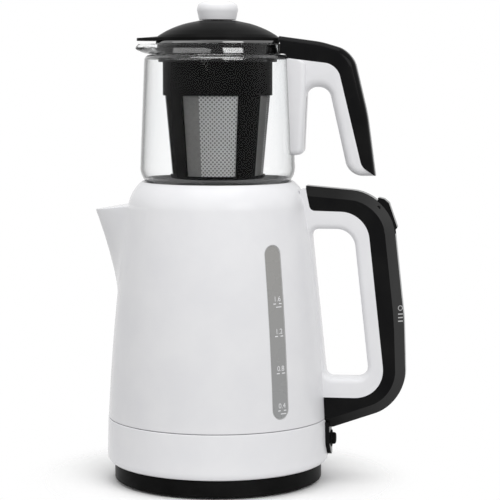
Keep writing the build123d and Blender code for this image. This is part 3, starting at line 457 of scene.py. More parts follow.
def span_between(low, high):
    """The outer edge of the section between two heights."""
    return [edge for edge in bm.edges
            if {round(v.co.z / MM, 1) for v in edge.verts} == {low, high} and min(v.co.x for v in edge.verts) > 0.058]


bmesh.ops.subdivide_edges(bm, edges=span_between(body_low, spout_low)[:1], cuts=21)
bmesh.ops.subdivide_edges(bm, edges=span_between(spout_low, rim_z), cuts=46)
bmesh.ops.subdivide_edges(bm, edges=span_between(ledge_z, body_top), cuts=14)
bmesh.ops.subdivide_edges(bm, edges=span_between(inner_low, inner_top), cuts=8)
outer_rows = 0
for vert in bm.verts:
    height, radius = vert.co.z / MM, vert.co.x / MM
    if radius > body_radius(height) - 2.4 and radius > 58.0:
        vert.co.x = body_radius(height) * MM
        outer_rows += 1
    elif 58.0 < height < 213.5 and radius > 60.0:
        vert.co.x = (body_radius(height) - body_wall) * MM
print("section rows on the outside", outer_rows)
spin_round(bm, 360)

# %% [markdown]
# Seen from above the spout is a wedge with a rounded nose. At each height its sides are two straight lines from
# the nose to the flank, and a soft maximum of wedge and flank gives the gentle hollow where they meet.

# %% Pulling the spout
spout_height, nose_reach, nose_lean = 71.5, 26.7, 1.4
rim_drop, nose_ease, widest_side = 4.0, math.radians(2.6), math.radians(21.5)
side_fall, hollow, hollow_share, pulled_side = 0.6, 2.6, 0.3, math.radians(50.0)


def spout_reach(z):
    """How far the nose stands out from the flank at a height."""
    share = min(max((z - spout_low) / spout_height, 0.0), 1.0)
    return nose_reach * share ** nose_lean


def side_angle(z):
    """The angle from the nose at which the spout's side runs out into the flank."""
    flank = body_radius(z)
    touching = math.acos(flank / (flank + spout_reach(z)))
    return max(min(touching, widest_side), 1e-4)


def over_flank(angle, z):
    """How far the wedge's side stands outside the flank, negative past its end."""
    flank, half = body_radius(z), side_angle(z)
    nose = flank + spout_reach(z)
    if angle >= half:
        return (half - angle) * flank * side_fall
    scale = half / (math.hypot(half, nose_ease) - nose_ease)
    eased = (math.hypot(angle, nose_ease) - nose_ease) * scale
    across = flank * math.sin(half)
    side = nose * across / (across * math.cos(eased) + (nose - flank * math.cos(half)) * math.sin(eased))
    return side - flank


def spout_radius(angle, z):
    """Radius of wedge and flank together, with a soft hollow between them."""
    over = over_flank(angle, z)
    soft = min(hollow, hollow_share * spout_reach(z))
    return body_radius(z) + (over + math.hypot(over, soft)) / 2


moved = 0
for vert in bm.verts:
    x, y, z = vert.co / MM
    radius = math.hypot(x, y)
    angle = abs(math.atan2(y, -x))
    if angle > pulled_side or not spout_low < z < rim_z + 0.1 or radius < body_radius(z) - 0.5:
        continue
    rise = (z - spout_low) / (rim_z - spout_low)
    stands_out = min(max(over_flank(angle, z), 0.0) / 27.0, 1.0)
    z -= rim_drop * stands_out * rise
    target = spout_radius(angle, z)
    vert.co = Vector((x * target / radius, y * target / radius, z)) * MM
    moved += 1
print("points pulled into the spout", moved)

# %% Opening the spout
spout_wall, opening_depth, opening_lowest, opening_side = 1.9, 26.0, 208.0, math.radians(17.0)
off_flank, floor_gap, floor_share = 3.5, 0.6, 0.42


def on_spout_top(face):
    """Whether a face lies on the slanted top of the spout, away from the flank."""
    middle = face.calc_center_median()
    angle = abs(math.atan2(middle.y, -middle.x))
    heights = [v.co.z / MM for v in face.verts]
    far = max(math.hypot(v.co.x, v.co.y) for v in face.verts) / MM - body_radius(rim_z)
    level = max(heights) < ledge_z + 0.05 and min(heights) > opening_lowest and face.normal.z > 0.6
    return level and angle < opening_side and far > off_flank


top_faces = [face for face in bm.faces if on_spout_top(face)]
bmesh.ops.inset_region(bm, faces=top_faces, thickness=spout_wall * MM, use_boundary=True, use_even_offset=True)
sunk = {v for face in top_faces for v in face.verts}
for vert in sunk:
    x, y, z = vert.co / MM
    radius = math.hypot(x, y)
    floor = z - opening_depth
    target = body_radius(floor) + floor_gap + (radius - body_radius(z)) * floor_share
    vert.co = Vector((x * target / radius, y * target / radius, floor)) * MM
bmesh.ops.recalc_face_normals(bm, faces=bm.faces)
body = piece("kettle_wall", bm, "kettle", white_gloss, crisp=40.0, stands_for=["kettle_body"])
soften(body, 0.7, 3, 45.0)
print("spout opened with", len(top_faces), "faces")

# %% [markdown]
# The level window sits in a long slot with round ends. Cutting it with a slot-shaped block keeps the edge clean.

# %% Window slot
window_turn = math.radians(-47.5)
window_low, window_high, window_width = 58.5, 188.0, 14.6
slot_from, slot_depth = 70.0, 30.0
bm = bmesh.new()
half = window_width / 2
end_radius = half - 0.01
outline(bm, [(-half, window_low, end_radius), (half, window_low, end_radius),
             (half, window_high, end_radius), (-half, window_high, end_radius)], depth=-slot_from, steps=12)
bmesh.ops.contextual_create(bm, geom=bm.edges[:])
thicken(bm, (0, -slot_depth * MM, 0))
bmesh.ops.rotate(bm, verts=bm.verts, cent=(0, 0, 0), matrix=Matrix.Rotation(window_turn + math.pi / 2, 3, "Z"))
carve(body, to_object("cutter", bm))
print("body with window slot", len(body.data.polygons), "faces")

# %% [markdown]
# ## The white handle
# The handle is a flat loop with soft inner edges where the fingers go. Two outlines, the rim and the finger
# hole, are filled between and given a depth. The rim's front runs just inside the kettle's wall, so that
# nothing shows in the kettle.

# %% White handle
handle_half, finger_rounding = 11.0, 4.5
front_line = [(body_radius(z) - 1.6, z, 0) for z in (67.0, 95.0, 125.0, 155.0, 185.0, 213.0)]
white_rim = [(64.4, 225.8, 0), (69.2, 227.3, 0), (72.8, 210.4, 4.0), (115.8, 209.3, 22.0), (131.5, 67.0, 22.0)]
finger_hole = [(72.7, 196.3, 6.0), (105.5, 196.3, 14.0), (118.1, 82.0, 9.0), (84.7, 82.0, 6.0)]
bm = bmesh.new()
outline(bm, front_line + white_rim, depth=-handle_half)
hole_edges = outline(bm, finger_hole, depth=-handle_half)
hole_marks = {(round(v.co.x, 6), round(v.co.z, 6)) for edge in hole_edges for v in edge.verts}
bmesh.ops.triangle_fill(bm, use_beauty=True, edges=bm.edges[:])
thicken(bm, (0, 2 * handle_half * MM, 0))


def on_hole_rim(edge):
    """Whether an edge runs round the finger hole on one side of the plate."""
    same_side = abs(edge.verts[0].co.y - edge.verts[1].co.y) < same_place
    return same_side and all((round(v.co.x, 6), round(v.co.z, 6)) in hole_marks for v in edge.verts)


hole_rims = [edge for edge in bm.edges if on_hole_rim(edge) and abs(edge.calc_face_angle(0.0)) > 1.0]
bmesh.ops.bevel(bm, geom=hole_rims, offset=finger_rounding * MM, offset_type="OFFSET", segments=6, profile=0.5,
                affect="EDGES", clamp_overlap=False, material=-1)
piece("white_handle", bm, "kettle", white_gloss, crisp=50.0, stands_for=["kettle_body"])
print("edges rounded for the fingers", len(hole_rims))

# %% [markdown]
# ## The handle's black cover
# The cover is chamfered along its back: its middle stands full height, and its sides are lower by the width of
# the chamfer. Four outlines at four depths, bridged one to the next, give that form. The lever's slot is cut
# out of the top corner afterwards, and the chamfer gets painted sheen: black that pales towards the grip's back.

# %% Black cover
def sides_moved(corners, shifts):
    """An outline that runs clockwise, with each side moved in by its own amount."""
    moved_corners = []
    for index, (x, z, radius) in enumerate(corners):
        before, after = corners[index - 1], corners[(index + 1) % len(corners)]
        along = Vector((x - before[0], z - before[1])).normalized()
        ahead = Vector((after[0] - x, after[1] - z)).normalized()
        first = Vector((x, z)) + Vector((along.y, -along.x)) * shifts[index - 1]
        second = Vector((x, z)) + Vector((ahead.y, -ahead.x)) * shifts[index]
        step = (second - first).cross(ahead) / along.cross(ahead)
        place = first + along * step
        shift = min(shifts[index - 1], shifts[index])
        turns_in = along.cross(ahead) > 0
        rounding = radius + shift if turns_in else max(radius - shift, 0.4)
        moved_corners.append((place.x, place.y, rounding if radius else 0.0))
    return moved_corners


def bridged(bm, outlines):
    """A solid through outlines of (corners, depth), closed at both ends."""
    loops = [outline(bm, corners, depth=depth) for corners, depth in outlines]
    bmesh.ops.contextual_create(bm, geom=loops[0])
    bmesh.ops.contextual_create(bm, geom=loops[-1])
    for first, second in zip(loops, loops[1:]):
        bmesh.ops.bridge_loops(bm, edges=first + second)
    bmesh.ops.recalc_face_normals(bm, faces=bm.faces)


def prism(bm, corners, half):
    """A plate of one outline, the same depth on both sides of the middle."""
    bridged(bm, [(corners, -half), (corners, half)])


cover_rim = [(68.9, 229.2, 0), (133.9, 223.6, 36.0), (144.4, 127.9, 150.0), (146.55, 63.1, 34.0), (90.5, 43.4, 0),
             (84.5, 43.4, 0), (83.8, 67.0, 0), (131.5, 67.0, 22.0), (115.8, 209.3, 22.0), (72.8, 210.4, 4.0)]
chamfer_width, crown_half, back_sides = 7.5, 6.5, 5
slant_from, slant_to = 0.3, 0.95
cover_side = sides_moved(cover_rim, [chamfer_width] * back_sides + [0.0] * (len(cover_rim) - back_sides))
bm = bmesh.new()
bridged(bm, [(cover_side, -handle_half), (cover_rim, -crown_half),
             (cover_rim, crown_half), (cover_side, handle_half)])
black_cover = piece("black_handle_cover", bm, "kettle", black_gloss, crisp=25.0,
                    stands_for=["handle_cover"])
bm = bmesh.new()
prism(bm, [(123.2, 213.0, 0), (123.2, 236.0, 0), (150.0, 236.0, 0), (150.0, 192.8, 0), (124.5, 192.8, 0)], crown_half)
carve(black_cover, to_object("cutter", bm), crisp=25.0)
# The chamfer faces take the black with painted sheen, a lit copy of the cover's own black.
black_cover.data.materials.append(chamfer_painted_sheen)
for face in black_cover.data.polygons:
    if slant_from < abs(face.normal.y) < slant_to:
        face.material_index = 1
soften(black_cover, 0.7, 3, 24.0)
print("cover with lever slot", len(black_cover.data.polygons), "faces")

# %% [markdown]
# ## Boil lever
# A small rocker fills the slot. Only its slanted back shows, so the cap alone is modelled here.

# %% Boil lever
lever_half = 6.0
bm = bmesh.new()
prism(bm, [(123.6, 220.65, 0.6), (128.6, 219.5, 3.0), (132.3, 216.4, 1.0), (138.8, 197.6, 1.0), (136.4, 195.2, 1.0),
           (127.0, 208.95, 0)], lever_half)
lever_cap = piece("boil_lever_cap", bm, "boil_lever", black_gloss, crisp=30.0,
                  stands_for=["boil_lever"])
soften(lever_cap, 0.35, 2, 40.0)

# %% [markdown]
# ## Tongue and keep-warm button
# A black tongue runs down the skirt's back from the handle's foot and carries a small round button. The tongue
# is cut from a plate and bent round the skirt.

# %% Tongue
tongue_proud, tongue_thick = 3.2, 4.2
button_z, bore_middle, bore_depth = 33.4, 88.0, 12.0


def skirt_radius_at(z):
    """Outer radius of the skirt at a height."""
    return skirt_foot + (skirt_edge - skirt_foot) * (z - skirt_low) / (skirt_top - skirt_low)


bm = bmesh.new()
outline(bm, [(11.0, 47.5, 0), (11.0, 30.4, 6.0), (4.0, 21.4, 6.0), (-4.0, 21.4, 6.0), (-11.0, 30.4, 6.0),
             (-11.0, 47.5, 0)])
bmesh.ops.contextual_create(bm, geom=bm.edges[:])
bmesh.ops.rotate(bm, verts=bm.verts, cent=(0, 0, 0), matrix=Matrix.Rotation(math.pi / 2, 3, "Z"))
for slice_y in (-7.5, -4.5, -1.5, 1.5, 4.5, 7.5):
    bmesh.ops.bisect_plane(bm, geom=bm.verts[:] + bm.edges[:] + bm.faces[:], dist=1e-7,
                           plane_co=(0, slice_y * MM, 0), plane_no=(0, 1, 0))
for vert in bm.verts:
    vert.co.x = math.sqrt(((skirt_radius_at(vert.co.z / MM) + tongue_proud) * MM) ** 2 - vert.co.y ** 2)
thicken(bm, (-tongue_thick * MM, 0, 0))
tongue = piece("handle_tongue", bm, "kettle", black_gloss, crisp=40.0, stands_for=["handle_cover"])


def button_bore(radius):
    """A round cutter along the button's own axis."""
    bore = bmesh.new()
    turn = Matrix.Translation((bore_middle * MM, 0, button_z * MM)) @ Matrix.Rotation(math.pi / 2, 4, "Y")
    bmesh.ops.create_cone(bore, cap_ends=True, segments=48, radius1=radius * MM, radius2=radius * MM,
                          depth=bore_depth * MM, matrix=turn)
    return to_object("cutter", bore)


carve(tongue, button_bore(5.0))
carve(skirt, button_bore(4.9))
soften(tongue, 0.6, 3, 40.0)

# %% Button and bezel
def turned_along_x(corners):
    """A section of (radius, x) spun about the button's own axis."""
    turned = bmesh.new()
    outline(turned, [(x, radius, rounding) for radius, x, rounding in corners], closed=False, steps=5)
    spin_round(turned, 64, axis=(1.0, 0.0, 0.0))
    bmesh.ops.translate(turned, verts=turned.verts, vec=(0, 0, button_z * MM))
    return turned


cap = turned_along_x([(0.0, 83.9, 0), (4.6, 83.9, 0), (4.6, 92.45, 1.8), (0.0, 92.45, 0)])
piece("keep_warm_button_cap", cap, "keep_warm_button", black_satin, stands_for=["keep_warm_button"])
ring = turned_along_x([(5.0, 86.3, 0), (5.0, 89.47, 0.3), (6.6, 89.47, 0.4), (6.6, 86.3, 0)])
piece("button_bezel_ring", ring, "kettle", black_satin, stands_for=["button_bezel"])

# %% [markdown]
# ## The glass teapot
# Blown glass has an even wall and no sharp edges. A closed section, outside up and inside down, is spun once
# round. Then the neck's front is drawn out into a pouring lip: on both sides of the tip the rim follows a
# straight line that touches the neck, as a potter's thumb would leave it.

# %% Glass teapot
neck_outer, neck_inner, lip_top = 48.4, 46.4, 336.7
outer_lip_low, inner_lip_low, lip_draw = 328.5, 329.9, 4.2
outer_tip, inner_tip, tip_turn = 63.9, 62.6, 2.0
bm = bmesh.new()
neck_rows = [(neck_outer, z, 0)
             for z in (328.7, 328.9, 329.2, 329.6, 330.3, 331.1, 332.0, 333.0, 334.0, 335.0, 335.9)]
inner_rows = [(neck_inner, z, 0)
              for z in (336.0, 335.0, 334.0, 333.0, 332.0, 331.3, 330.7, 330.3, 330.05, 329.9)]
outline(bm, [(0.0, 227.3, 0), (60.2, 227.3, 15.0), (56.0, outer_lip_low, 4.5), (48.6, outer_lip_low, 0)] + neck_rows
        + [(48.1, 336.5, 0), (47.4, lip_top, 0), (neck_inner, lip_top, 0)] + inner_rows
        + [(neck_inner, 326.3, 0.9), (53.8, 326.3, 2.3), (58.0, 229.5, 12.8), (0.0, 229.5, 0)], closed=False, steps=8)
spin_round(bm, 240)


def ease(value, low, high):
    """Rises smoothly from 0 to 1 between two values."""
    share = min(max((value - low) / (high - low), 0.0), 1.0)
    return share * share * (3 - 2 * share)


def beak(radius, tip, angle, soft=math.radians(5.0)):
    """Radius of a round rim that is drawn out to a tip."""
    touch = math.acos(radius / tip)
    eased = math.hypot(angle, soft) - soft
    return radius / math.cos(max(touch - eased, 0.0))


for vert in bm.verts:
    x, y, z = vert.co / MM
    radius = math.hypot(x, y)
    if z < outer_lip_low + 0.05 or x > 0 or radius > 52.0:
        continue
    angle = abs(math.atan2(y, -x))
    inside = radius < 46.9
    draw = math.sqrt(min(max(z - (inner_lip_low if inside else outer_lip_low), 0.0) / lip_draw, 1.0))
    tip = (inner_tip if inside else outer_tip) - tip_turn * ease(z, 334.0, lip_top)
    factor = 1 + draw * (beak(radius, tip, angle) / radius - 1)
    vert.co.x *= factor
    vert.co.y *= factor
piece("glass_pot", bm, "teapot", clear_glass, crisp=60.0, stands_for=["teapot_glass"])

# %% [markdown]
# ## The teapot's handle
# White below and black on top, the handle starts from a saddle that is bonded to the glass. All three are
# plates with rounded edges. Cutting them with a blank a little larger than the glass shapes their fronts.

# %% Teapot handle
def glass_blank():
    """A cutter shaped like the glass and a little larger."""
    blank = bmesh.new()
    outline(blank, [(0.0, 220.0, 0), (60.8, 226.7, 15.6), (56.6, 329.2, 5.0), (49.2, 329.2, 0), (50.2, 331.0, 0),
                    (50.2, 337.6, 0), (neck_outer, 337.6, 0), (neck_outer, 380.0, 0), (0.0, 380.0, 0)],
            closed=False, steps=10)
    spin_round(blank, 180)
    return to_object("cutter", blank)


def rounded_plate(bm, corners, half, rounding, rounded_sides, steps=5):
    """A plate whose edges are rounded along some of its sides."""
    outlines = []
    for index in range(-steps, steps + 1):
        turn = math.radians(90.0 * abs(index) / steps)
        shift = rounding * (1 - math.cos(turn))
        depth = math.copysign(half - rounding + rounding * math.sin(turn), index)
        shifts = [shift if side in rounded_sides else 0.0 for side in range(len(corners))]
        if index == 0:
            outlines.append((corners, -(half - rounding)))
            outlines.append((corners, half - rounding))
        else:
            outlines.append((sides_moved(corners, shifts), depth))
    bridged(bm, outlines)


def pot_plate(name, finish, node, corners, half, rounding, rounded_sides):
    """One part of the handle, with its front cut to the glass."""
    bm = bmesh.new()
    rounded_plate(bm, corners, half, rounding, rounded_sides)
    made = piece(name, bm, "teapot", finish, crisp=30.0, stands_for=[node])
    carve(made, glass_blank(), crisp=30.0)


grip_half, saddle_half = 10.0, 14.0
grip = [(44.0, 327.2, 0), (92.8, 321.1, 13.0), (111.6, 244.0, 10.0), (121.75, 236.8, 0), (101.3, 236.8, 13.0),
        (86.0, 304.0, 9.0), (69.0, 304.0, 8.0), (66.6, 252.5, 4.0), (44.0, 252.5, 0)]
saddle = [(44.0, 326.8, 0), (69.0, 323.7, 3.0), (69.0, 304.0, 30.0), (66.6, 252.5, 5.0), (44.0, 252.5, 0)]
arm = [(44.0, 343.15, 0), (80.0, 338.2, 60.0), (104.0, 331.0, 20.0), (115.5, 283.0, 120.0), (121.75, 236.8, 0),
       (111.6, 244.0, 10.0), (92.8, 321.1, 13.0), (44.0, 327.2, 0)]
pot_plate("white_pot_grip", white_gloss, "teapot_handle",
          grip, grip_half, rounding=6.5, rounded_sides=(3, 4, 5, 6, 7))
pot_plate("white_pot_saddle", white_gloss, "teapot_handle",
          saddle, saddle_half, rounding=4.0, rounded_sides=(1, 2, 3))
pot_plate("black_pot_cover", black_gloss, "teapot_handle_cover",
          arm, grip_half, rounding=5.5, rounded_sides=(0, 1, 2, 3))

# %% [markdown]
# ## The strainer
# The strainer hangs in the neck by its rim. Its rim and collar are turned; below them four ribs hold a cone of
# sheet steel. A rib is a small section spun through the rib's own angle only. The collar's bands are polished
# and catch the lamps; the plain band under them has the finish of the ribs.

# %% Strainer frame
foot_radius, foot_z, band_radius, band_z = 36.2, 233.7, 42.0, 298.6
collar_low, window_foot, window_head = 323.0, 236.0, 298.0
rib_thick, rib_angle, rib_count = 1.6, math.radians(28.0), 4


def cone_radius(z):
    """Outer radius of the strainer's tapered part."""
    return foot_radius + (band_radius - foot_radius) * (z - foot_z) / (band_z - foot_z)


def cone_wall(bm, outside_by, inside_by):
    """The section of a wall along the cone, between two distances inside it."""
    outline(bm, [(cone_radius(window_foot) - outside_by, window_foot, 0),
                 (cone_radius(window_head) - outside_by, window_head, 0),
                 (cone_radius(window_head) - inside_by, window_head, 0),
                 (cone_radius(window_foot) - inside_by, window_foot, 0)])


bm = bmesh.new()
outline(bm, [(44.0, 339.0, 0), (46.9, 339.0, 0.4), (47.6, 336.75, 0.4), (45.0, 336.75, 0), (45.0, 333.8, 0),
             (45.35, 333.4, 0.4), (46.2, 329.2, 0.4), (45.0, 328.4, 0), (45.6, collar_low, 0.6),
             (band_radius, collar_low, 0.4), (band_radius, band_z, 0), (cone_radius(297.6), 297.6, 0),
             (40.0, 297.6, 0), (40.2, 324.7, 0), (44.0, 324.7, 0)])
spin_round(bm, 180)
collar = piece("strainer_collar", bm, "strainer", collar_gloss, stands_for=["strainer_frame"])
collar.data.materials.append(black_gloss)
for face in collar.data.polygons:
    if face.center.z < (collar_low + 0.3) * MM:
        face.material_index = 1

bm = bmesh.new()
for index in range(rib_count):
    rib = bmesh.new()
    cone_wall(rib, 0.0, rib_thick)
    bmesh.ops.contextual_create(rib, geom=rib.edges[:])
    start = math.radians(45.0 + 360.0 / rib_count * index) - rib_angle / 2
    bmesh.ops.rotate(rib, verts=rib.verts, cent=(0, 0, 0), matrix=Matrix.Rotation(start, 3, "Z"))
    bmesh.ops.spin(rib, geom=rib.verts[:] + rib.edges[:] + rib.faces[:], cent=(0, 0, 0), axis=(0, 0, 1),
                   dvec=(0, 0, 0), angle=rib_angle, steps=14)
    bmesh.ops.recalc_face_normals(rib, faces=rib.faces)
    join_into(bm, rib)
piece("strainer_ribs", bm, "strainer", black_gloss, stands_for=["strainer_frame"])

bm = bmesh.new()
outline(bm, [(0.0, foot_z, 0), (foot_radius, foot_z, 0.8), (cone_radius(236.6), 236.6, 0), (34.6, 236.6, 0),
             (34.4, 235.3, 0), (0.0, 235.3, 0)], closed=False)
spin_round(bm, 144)
piece("strainer_floor", bm, "strainer", black_gloss, stands_for=["strainer_frame"])

# %% [markdown]
# The sheet is perforated with fine holes in part of each window. At this size the holes are a pattern in the
# metal: the angle about the axis and the height give two lengths, and dots repeat along both of them.

# %% Strainer sheet
hole_pitch, hole_share, sheet_radius = 3.2, 0.29, 38.0
zone_start, zone_end = 0.37, 0.89


def mixed(tree, factor, low, high):
    """A blend of two colours, where the second is a node's output or a fixed colour."""
    mix = tree.nodes.new("ShaderNodeMix")
    mix.data_type = "RGBA"
    tree.links.new(factor, mix.inputs[0])
    tree.links.new(low, mix.inputs[6])
    if isinstance(high, tuple):
        mix.inputs[7].default_value = high
    else:
        tree.links.new(high, mix.inputs[7])
    return mix.outputs[2]


def perforated_steel():
    """Bright steel with rows of holes in one zone of each window, and plain steel beside them."""
    material, tree, shader, coords = new_material("perforated_steel")
    split = tree.nodes.new("ShaderNodeSeparateXYZ")
    tree.links.new(coords.outputs["Object"], split.inputs["Vector"])

    def calc(operation, *values):
        return calculated(tree, operation, *values)

    turn = calc("ARCTAN2", split.outputs["Y"], split.outputs["X"])
    across = calc("MULTIPLY", turn, sheet_radius / hole_pitch)
    up = calc("DIVIDE", split.outputs["Z"], hole_pitch * MM)
    one, two = [calc("ABSOLUTE", calc("SUBTRACT", calc("FRACT", calc(operation, across, up)), 0.5))
                for operation in ("ADD", "SUBTRACT")]
    away = calc("SQRT", calc("ADD", calc("MULTIPLY", one, one), calc("MULTIPLY", two, two)))
    dot = calc("LESS_THAN", away, hole_share)
    quarter = calc("FRACT", calc("ADD", calc("DIVIDE", turn, math.pi / 2), 0.5))
    zone = calc("MULTIPLY", calc("GREATER_THAN", quarter, zone_start), calc("LESS_THAN", quarter, zone_end))
    shine = noise(tree, coords.outputs["Object"], 300.0)
    plain = ramp(tree, shine, (0.34, 0.335, 0.325), (0.40, 0.395, 0.385))
    bright = ramp(tree, shine, (0.90, 0.90, 0.89), (0.96, 0.96, 0.95))
    pierced = mixed(tree, calc("MULTIPLY", dot, zone), mixed(tree, zone, plain, bright), (0.30, 0.30, 0.295, 1.0))
    tree.links.new(pierced, shader.inputs["Base Color"])
    tree.links.new(span(tree, shine, 0.45, 0.55), shader.inputs["Roughness"])
    set_inputs(shader, {"Metallic": 0.1})
    return material


bm = bmesh.new()
cone_wall(bm, 1.7, 2.2)
spin_round(bm, 180)
piece("strainer_sheet", bm, "strainer", perforated_steel(), stands_for=["strainer_mesh"])

# %% [markdown]
# ## The lid
# The lid is a shallow dome with a thin brim, and a skirt under it that drops into the strainer's collar. The
# whole section is spun at once. Then the brim's front is drawn out to a point over the pouring lip, with the same
# straight sides as the lip below it.

# %% Lid
lid_tip, brim_from = 62.9, 46.0
bm = bmesh.new()
outline(bm, [(13.9, 354.5, 0), (32.5, 350.6, 60.0), (45.0, 343.2, 10.0), (47.1, 341.2, 0.5), (47.1, 339.1, 0.4),
             (43.8, 339.1, 0), (43.8, 334.1, 0.4), (42.4, 334.1, 0.4), (42.4, 341.2, 0), (31.8, 348.6, 60.0),
             (13.9, 352.5, 0)])
spin_round(bm, 240)
for vert in bm.verts:
    x, y, z = vert.co / MM
    radius = math.hypot(x, y)
    if x > 0 or radius < brim_from:
        continue
    factor = beak(radius, lid_tip, abs(math.atan2(y, -x))) / radius
    vert.co.x *= factor
    vert.co.y *= factor
piece("black_lid", bm, "lid", black_satin, crisp=40.0, stands_for=["lid_dome"])

# %% [markdown]
# ## Lid knob
# The knob is turned like a drawer knob: a narrow foot, a full edge and a gently domed crown.

# %% Knob
bm = bmesh.new()
outline(bm, [(0.0, 370.0, 0), (8.5, 369.8, 22.0), (14.7, 367.2, 4.0), (15.9, 362.9, 6.0), (14.1, 355.0, 0.5),
             (0.0, 355.0, 0)], closed=False, steps=10)
spin_round(bm, 96)
piece("white_lid_knob", bm, "lid", white_gloss, crisp=50.0, stands_for=["lid_knob"])

# %% [markdown]
# ## Level marks
# The gauge is printed: plain lines with plain numbers, laid a hair above the window's face and bent round the
# kettle with it. Two lines close together mark the lowest and the highest level.

# %% Level marks
mark_middle, figure_size, marks_inset = 1.6, 5.4, 0.33


def lettered(text, size):
    """A flat mesh of some figures, centred, in the plane y = 0."""
    curve = bpy.data.curves.new("figures", "FONT")
    curve.body = text
    curve.size = size * MM
    curve.align_x = "CENTER"
    holder = bpy.data.objects.new("figures", curve)
    bpy.context.scene.collection.objects.link(holder)
    flat = finished_mesh(holder)
    bpy.data.objects.remove(holder)
    made = bmesh.new()
    made.from_mesh(flat)
    bpy.data.meshes.remove(flat)
    bmesh.ops.rotate(made, verts=made.verts, cent=(0, 0, 0), matrix=Matrix.Rotation(math.pi / 2, 3, "X"))
    return made


def upright(x, z):
    """Stands a flat shape up in the plane y = 0, at a place in millimetres."""
    return Matrix.Translation((x * MM, 0, z * MM)) @ Matrix.Rotation(math.pi / 2, 4, "X")


def add_line(bm, middle, z, length, thick):
    """A flat bar in the plane y = 0, whose lower edge is at z."""
    shape = Matrix.Diagonal((length * MM, thick * MM, 1.0, 1.0))
    bmesh.ops.create_grid(bm, x_segments=1, y_segments=1, size=0.5, matrix=upright(middle, z + thick / 2) @ shape)


bm = bmesh.new()
for z, figures in ((144.0, "1.6"), (120.0, "1.2"), (92.5, "0.8"), (64.8, "0.4")):
    add_line(bm, mark_middle, z, length=7.5, thick=0.75)
    digits = lettered(figures, figure_size)
    bmesh.ops.translate(digits, verts=digits.verts, vec=(mark_middle * MM, 0, (z + 2.2) * MM))
    join_into(bm, digits)
for z in (141.6, 62.4):
    add_line(bm, mark_middle + 1.0, z, length=5.0, thick=0.7)
for vert in bm.verts:
    z = vert.co.z / MM
    radius = body_radius(z) - marks_inset
    turn = window_turn + vert.co.x / (radius * MM)
    vert.co = Vector((radius * math.cos(turn), radius * math.sin(turn), z)) * MM
bmesh.ops.recalc_face_normals(bm, faces=bm.faces)
piece("level_marks", bm, "kettle", white_gloss)

# %% [markdown]
# ## Marks on the handle
# Small pale marks sit near the cover's back edge: a plain ring and three bars. They are drawn flat, then each
# point is dropped straight onto the chamfer and stays a hair above it.

# %% Handle marks
chamfer_depth = handle_half - crown_half
chamfer_out = Vector((chamfer_depth, -chamfer_width, 0.0)).normalized()
chamfer_across = Vector((chamfer_width, chamfer_depth, 0.0)).normalized()
marks_place, marks_lift, ring_z = Vector((141.8, -8.0, 0.0)) * MM, 0.06 * MM, 136.6
bm = bmesh.new()
for radius in (1.5, 2.0):
    bmesh.ops.create_circle(bm, segments=32, radius=radius * MM, matrix=upright(0.0, ring_z))
bmesh.ops.bridge_loops(bm, edges=bm.edges[:])
for z in (131.6, 128.9, 126.2):
    add_line(bm, 0.0, z, length=4.0, thick=0.9)
for vert in bm.verts:
    flat_place = marks_place + chamfer_across * vert.co.x + Vector((0, 0, vert.co.z))
    place = black_cover.ray_cast(flat_place + chamfer_out * 20 * MM, -chamfer_out)[1]
    vert.co = place + chamfer_out * marks_lift
bmesh.ops.recalc_face_normals(bm, faces=bm.faces)
piece("handle_marks", bm, "kettle", pale_seal)

# %% [markdown]
# ## Finishes for the pieces that keep their shape
# Every node that stays visible gets the finish of its slot. The lever's pin is black, because its end shows on
# the black cover.

# %% Node finishes
finish_of_slot = {
    "white_plastic": white_gloss, "black_plastic": black_gloss, "base_plastic": base_satin,
    "dark_plastic": dark_matt, "window_plastic": smoke_window, "clear_glass": clear_glass,
    "steel": brushed_steel, "aluminium": cast_aluminium, "brass": contact_brass, "rubber": black_rubber,
    "seal_rubber": pale_seal,
}
for entry in frame["record"]["subparts"]:
    node_mesh = nodes[entry["node"]].data
    node_mesh.materials.clear()
    finish = black_gloss if entry["node"] == "lever_pin" else finish_of_slot[entry["material_slot"]]
    node_mesh.materials.append(finish)
print("finishes given to", len(nodes), "nodes")

# %% [markdown]
# ## Floor and light
# The part stands on white paper, with a wide, dim soft box on the left, a brighter one on the right and one above.
# The world is white to the camera, in mirrors and straight through glass, and gives a plain even fill to
# everything else. Light that has bounced and then crosses the glass meets a dimmer world, so that the black
# strainer inside stays black.

# %% Studio
shadow_near, shadow_far = 0.085, 0.16
fill_light, dim_world = 0.50, 0.14
bm = bmesh.new()
bmesh.ops.create_grid(bm, x_segments=1, y_segments=1, size=3.0)
floor = to_object("studio_floor", bm)
paper, tree, shader, coords = new_material("white_paper")
tone = ramp(tree, noise(tree, coords.outputs["Object"], 3.0), (0.93, 0.93, 0.93), (0.95, 0.95, 0.95))
tree.links.new(tone, shader.inputs["Base Color"])
set_inputs(shader, {"Roughness": 0.9})
away = tree.nodes.new("ShaderNodeVectorMath")
away.operation = "LENGTH"
tree.links.new(coords.outputs["Object"], away.inputs[0])
fade = tree.nodes.new("ShaderNodeMapRange")
fade.interpolation_type = "SMOOTHSTEP"
set_inputs(fade, {"From Min": shadow_near, "From Max": shadow_far})
tree.links.new(away.outputs["Value"], fade.inputs["Value"])
clear = tree.nodes.new("ShaderNodeBsdfTransparent")
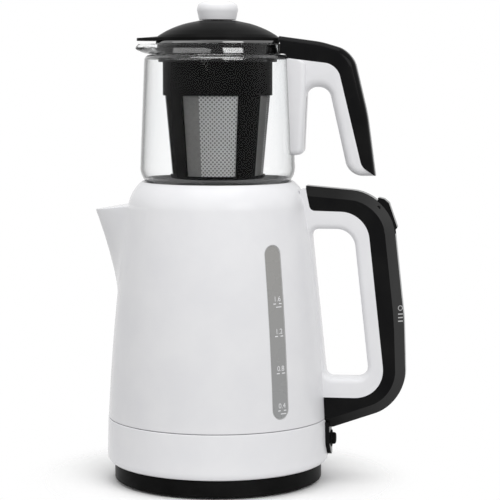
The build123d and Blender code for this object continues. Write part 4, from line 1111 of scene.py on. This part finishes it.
blend = tree.nodes.new("ShaderNodeMixShader")
tree.links.new(fade.outputs["Result"], blend.inputs["Fac"])
tree.links.new(shader.outputs["BSDF"], blend.inputs[1])
tree.links.new(clear.outputs["BSDF"], blend.inputs[2])
tree.links.new(blend.outputs["Shader"], tree.nodes["Material Output"].inputs["Surface"])
floor.data.materials.append(paper)


def soft_box(name, place, aim, width, height, glow):
    """A rectangular lamp whose face has a set brightness."""
    data = bpy.data.lights.new(name, "AREA")
    data.shape = "RECTANGLE"
    data.size = width
    data.size_y = height
    data.energy = glow * math.pi * width * height
    lamp = bpy.data.objects.new(name, data)
    bpy.context.scene.collection.objects.link(lamp)
    lamp.location = place
    lamp.rotation_euler = (Vector(aim) - Vector(place)).to_track_quat("-Z", "Y").to_euler()


soft_box("left_soft_box", (-1.0, -1.0, 0.85), (0, 0, 0.25), width=2.4, height=0.5, glow=1.2)
soft_box("right_soft_box", (0.85, -1.05, 0.85), (0, 0, 0.25), width=0.95, height=0.55, glow=4.6)
soft_box("top_soft_box", (0.0, -0.25, 1.6), (0, 0, 0.1), width=1.1, height=1.1, glow=2.8)

world = bpy.data.worlds.new("white_studio")
bpy.context.scene.world = world
world.use_nodes = True
tree = world.node_tree
back = tree.nodes["Background"]
set_inputs(back, {"Color": (1.0, 1.0, 1.0, 1.0)})
rays = tree.nodes.new("ShaderNodeLightPath").outputs
bounces = calculated(tree, "ADD", rays["Glossy Depth"], rays["Diffuse Depth"])
straight = calculated(tree, "LESS_THAN", bounces, 0.5)
through = calculated(tree, "MULTIPLY", rays["Is Transmission Ray"], straight)
mirrored = calculated(tree, "SUBTRACT", rays["Is Glossy Ray"], rays["Is Transmission Ray"])
white = calculated(tree, "MAXIMUM", calculated(tree, "MAXIMUM", rays["Is Camera Ray"], through), mirrored)
fill = span(tree, rays["Is Transmission Ray"], fill_light, dim_world, 0.0, 1.0)
tree.links.new(calculated(tree, "MAXIMUM", white, fill), back.inputs["Strength"])
bpy.context.scene.view_settings.view_transform = "Standard"
print("studio ready")
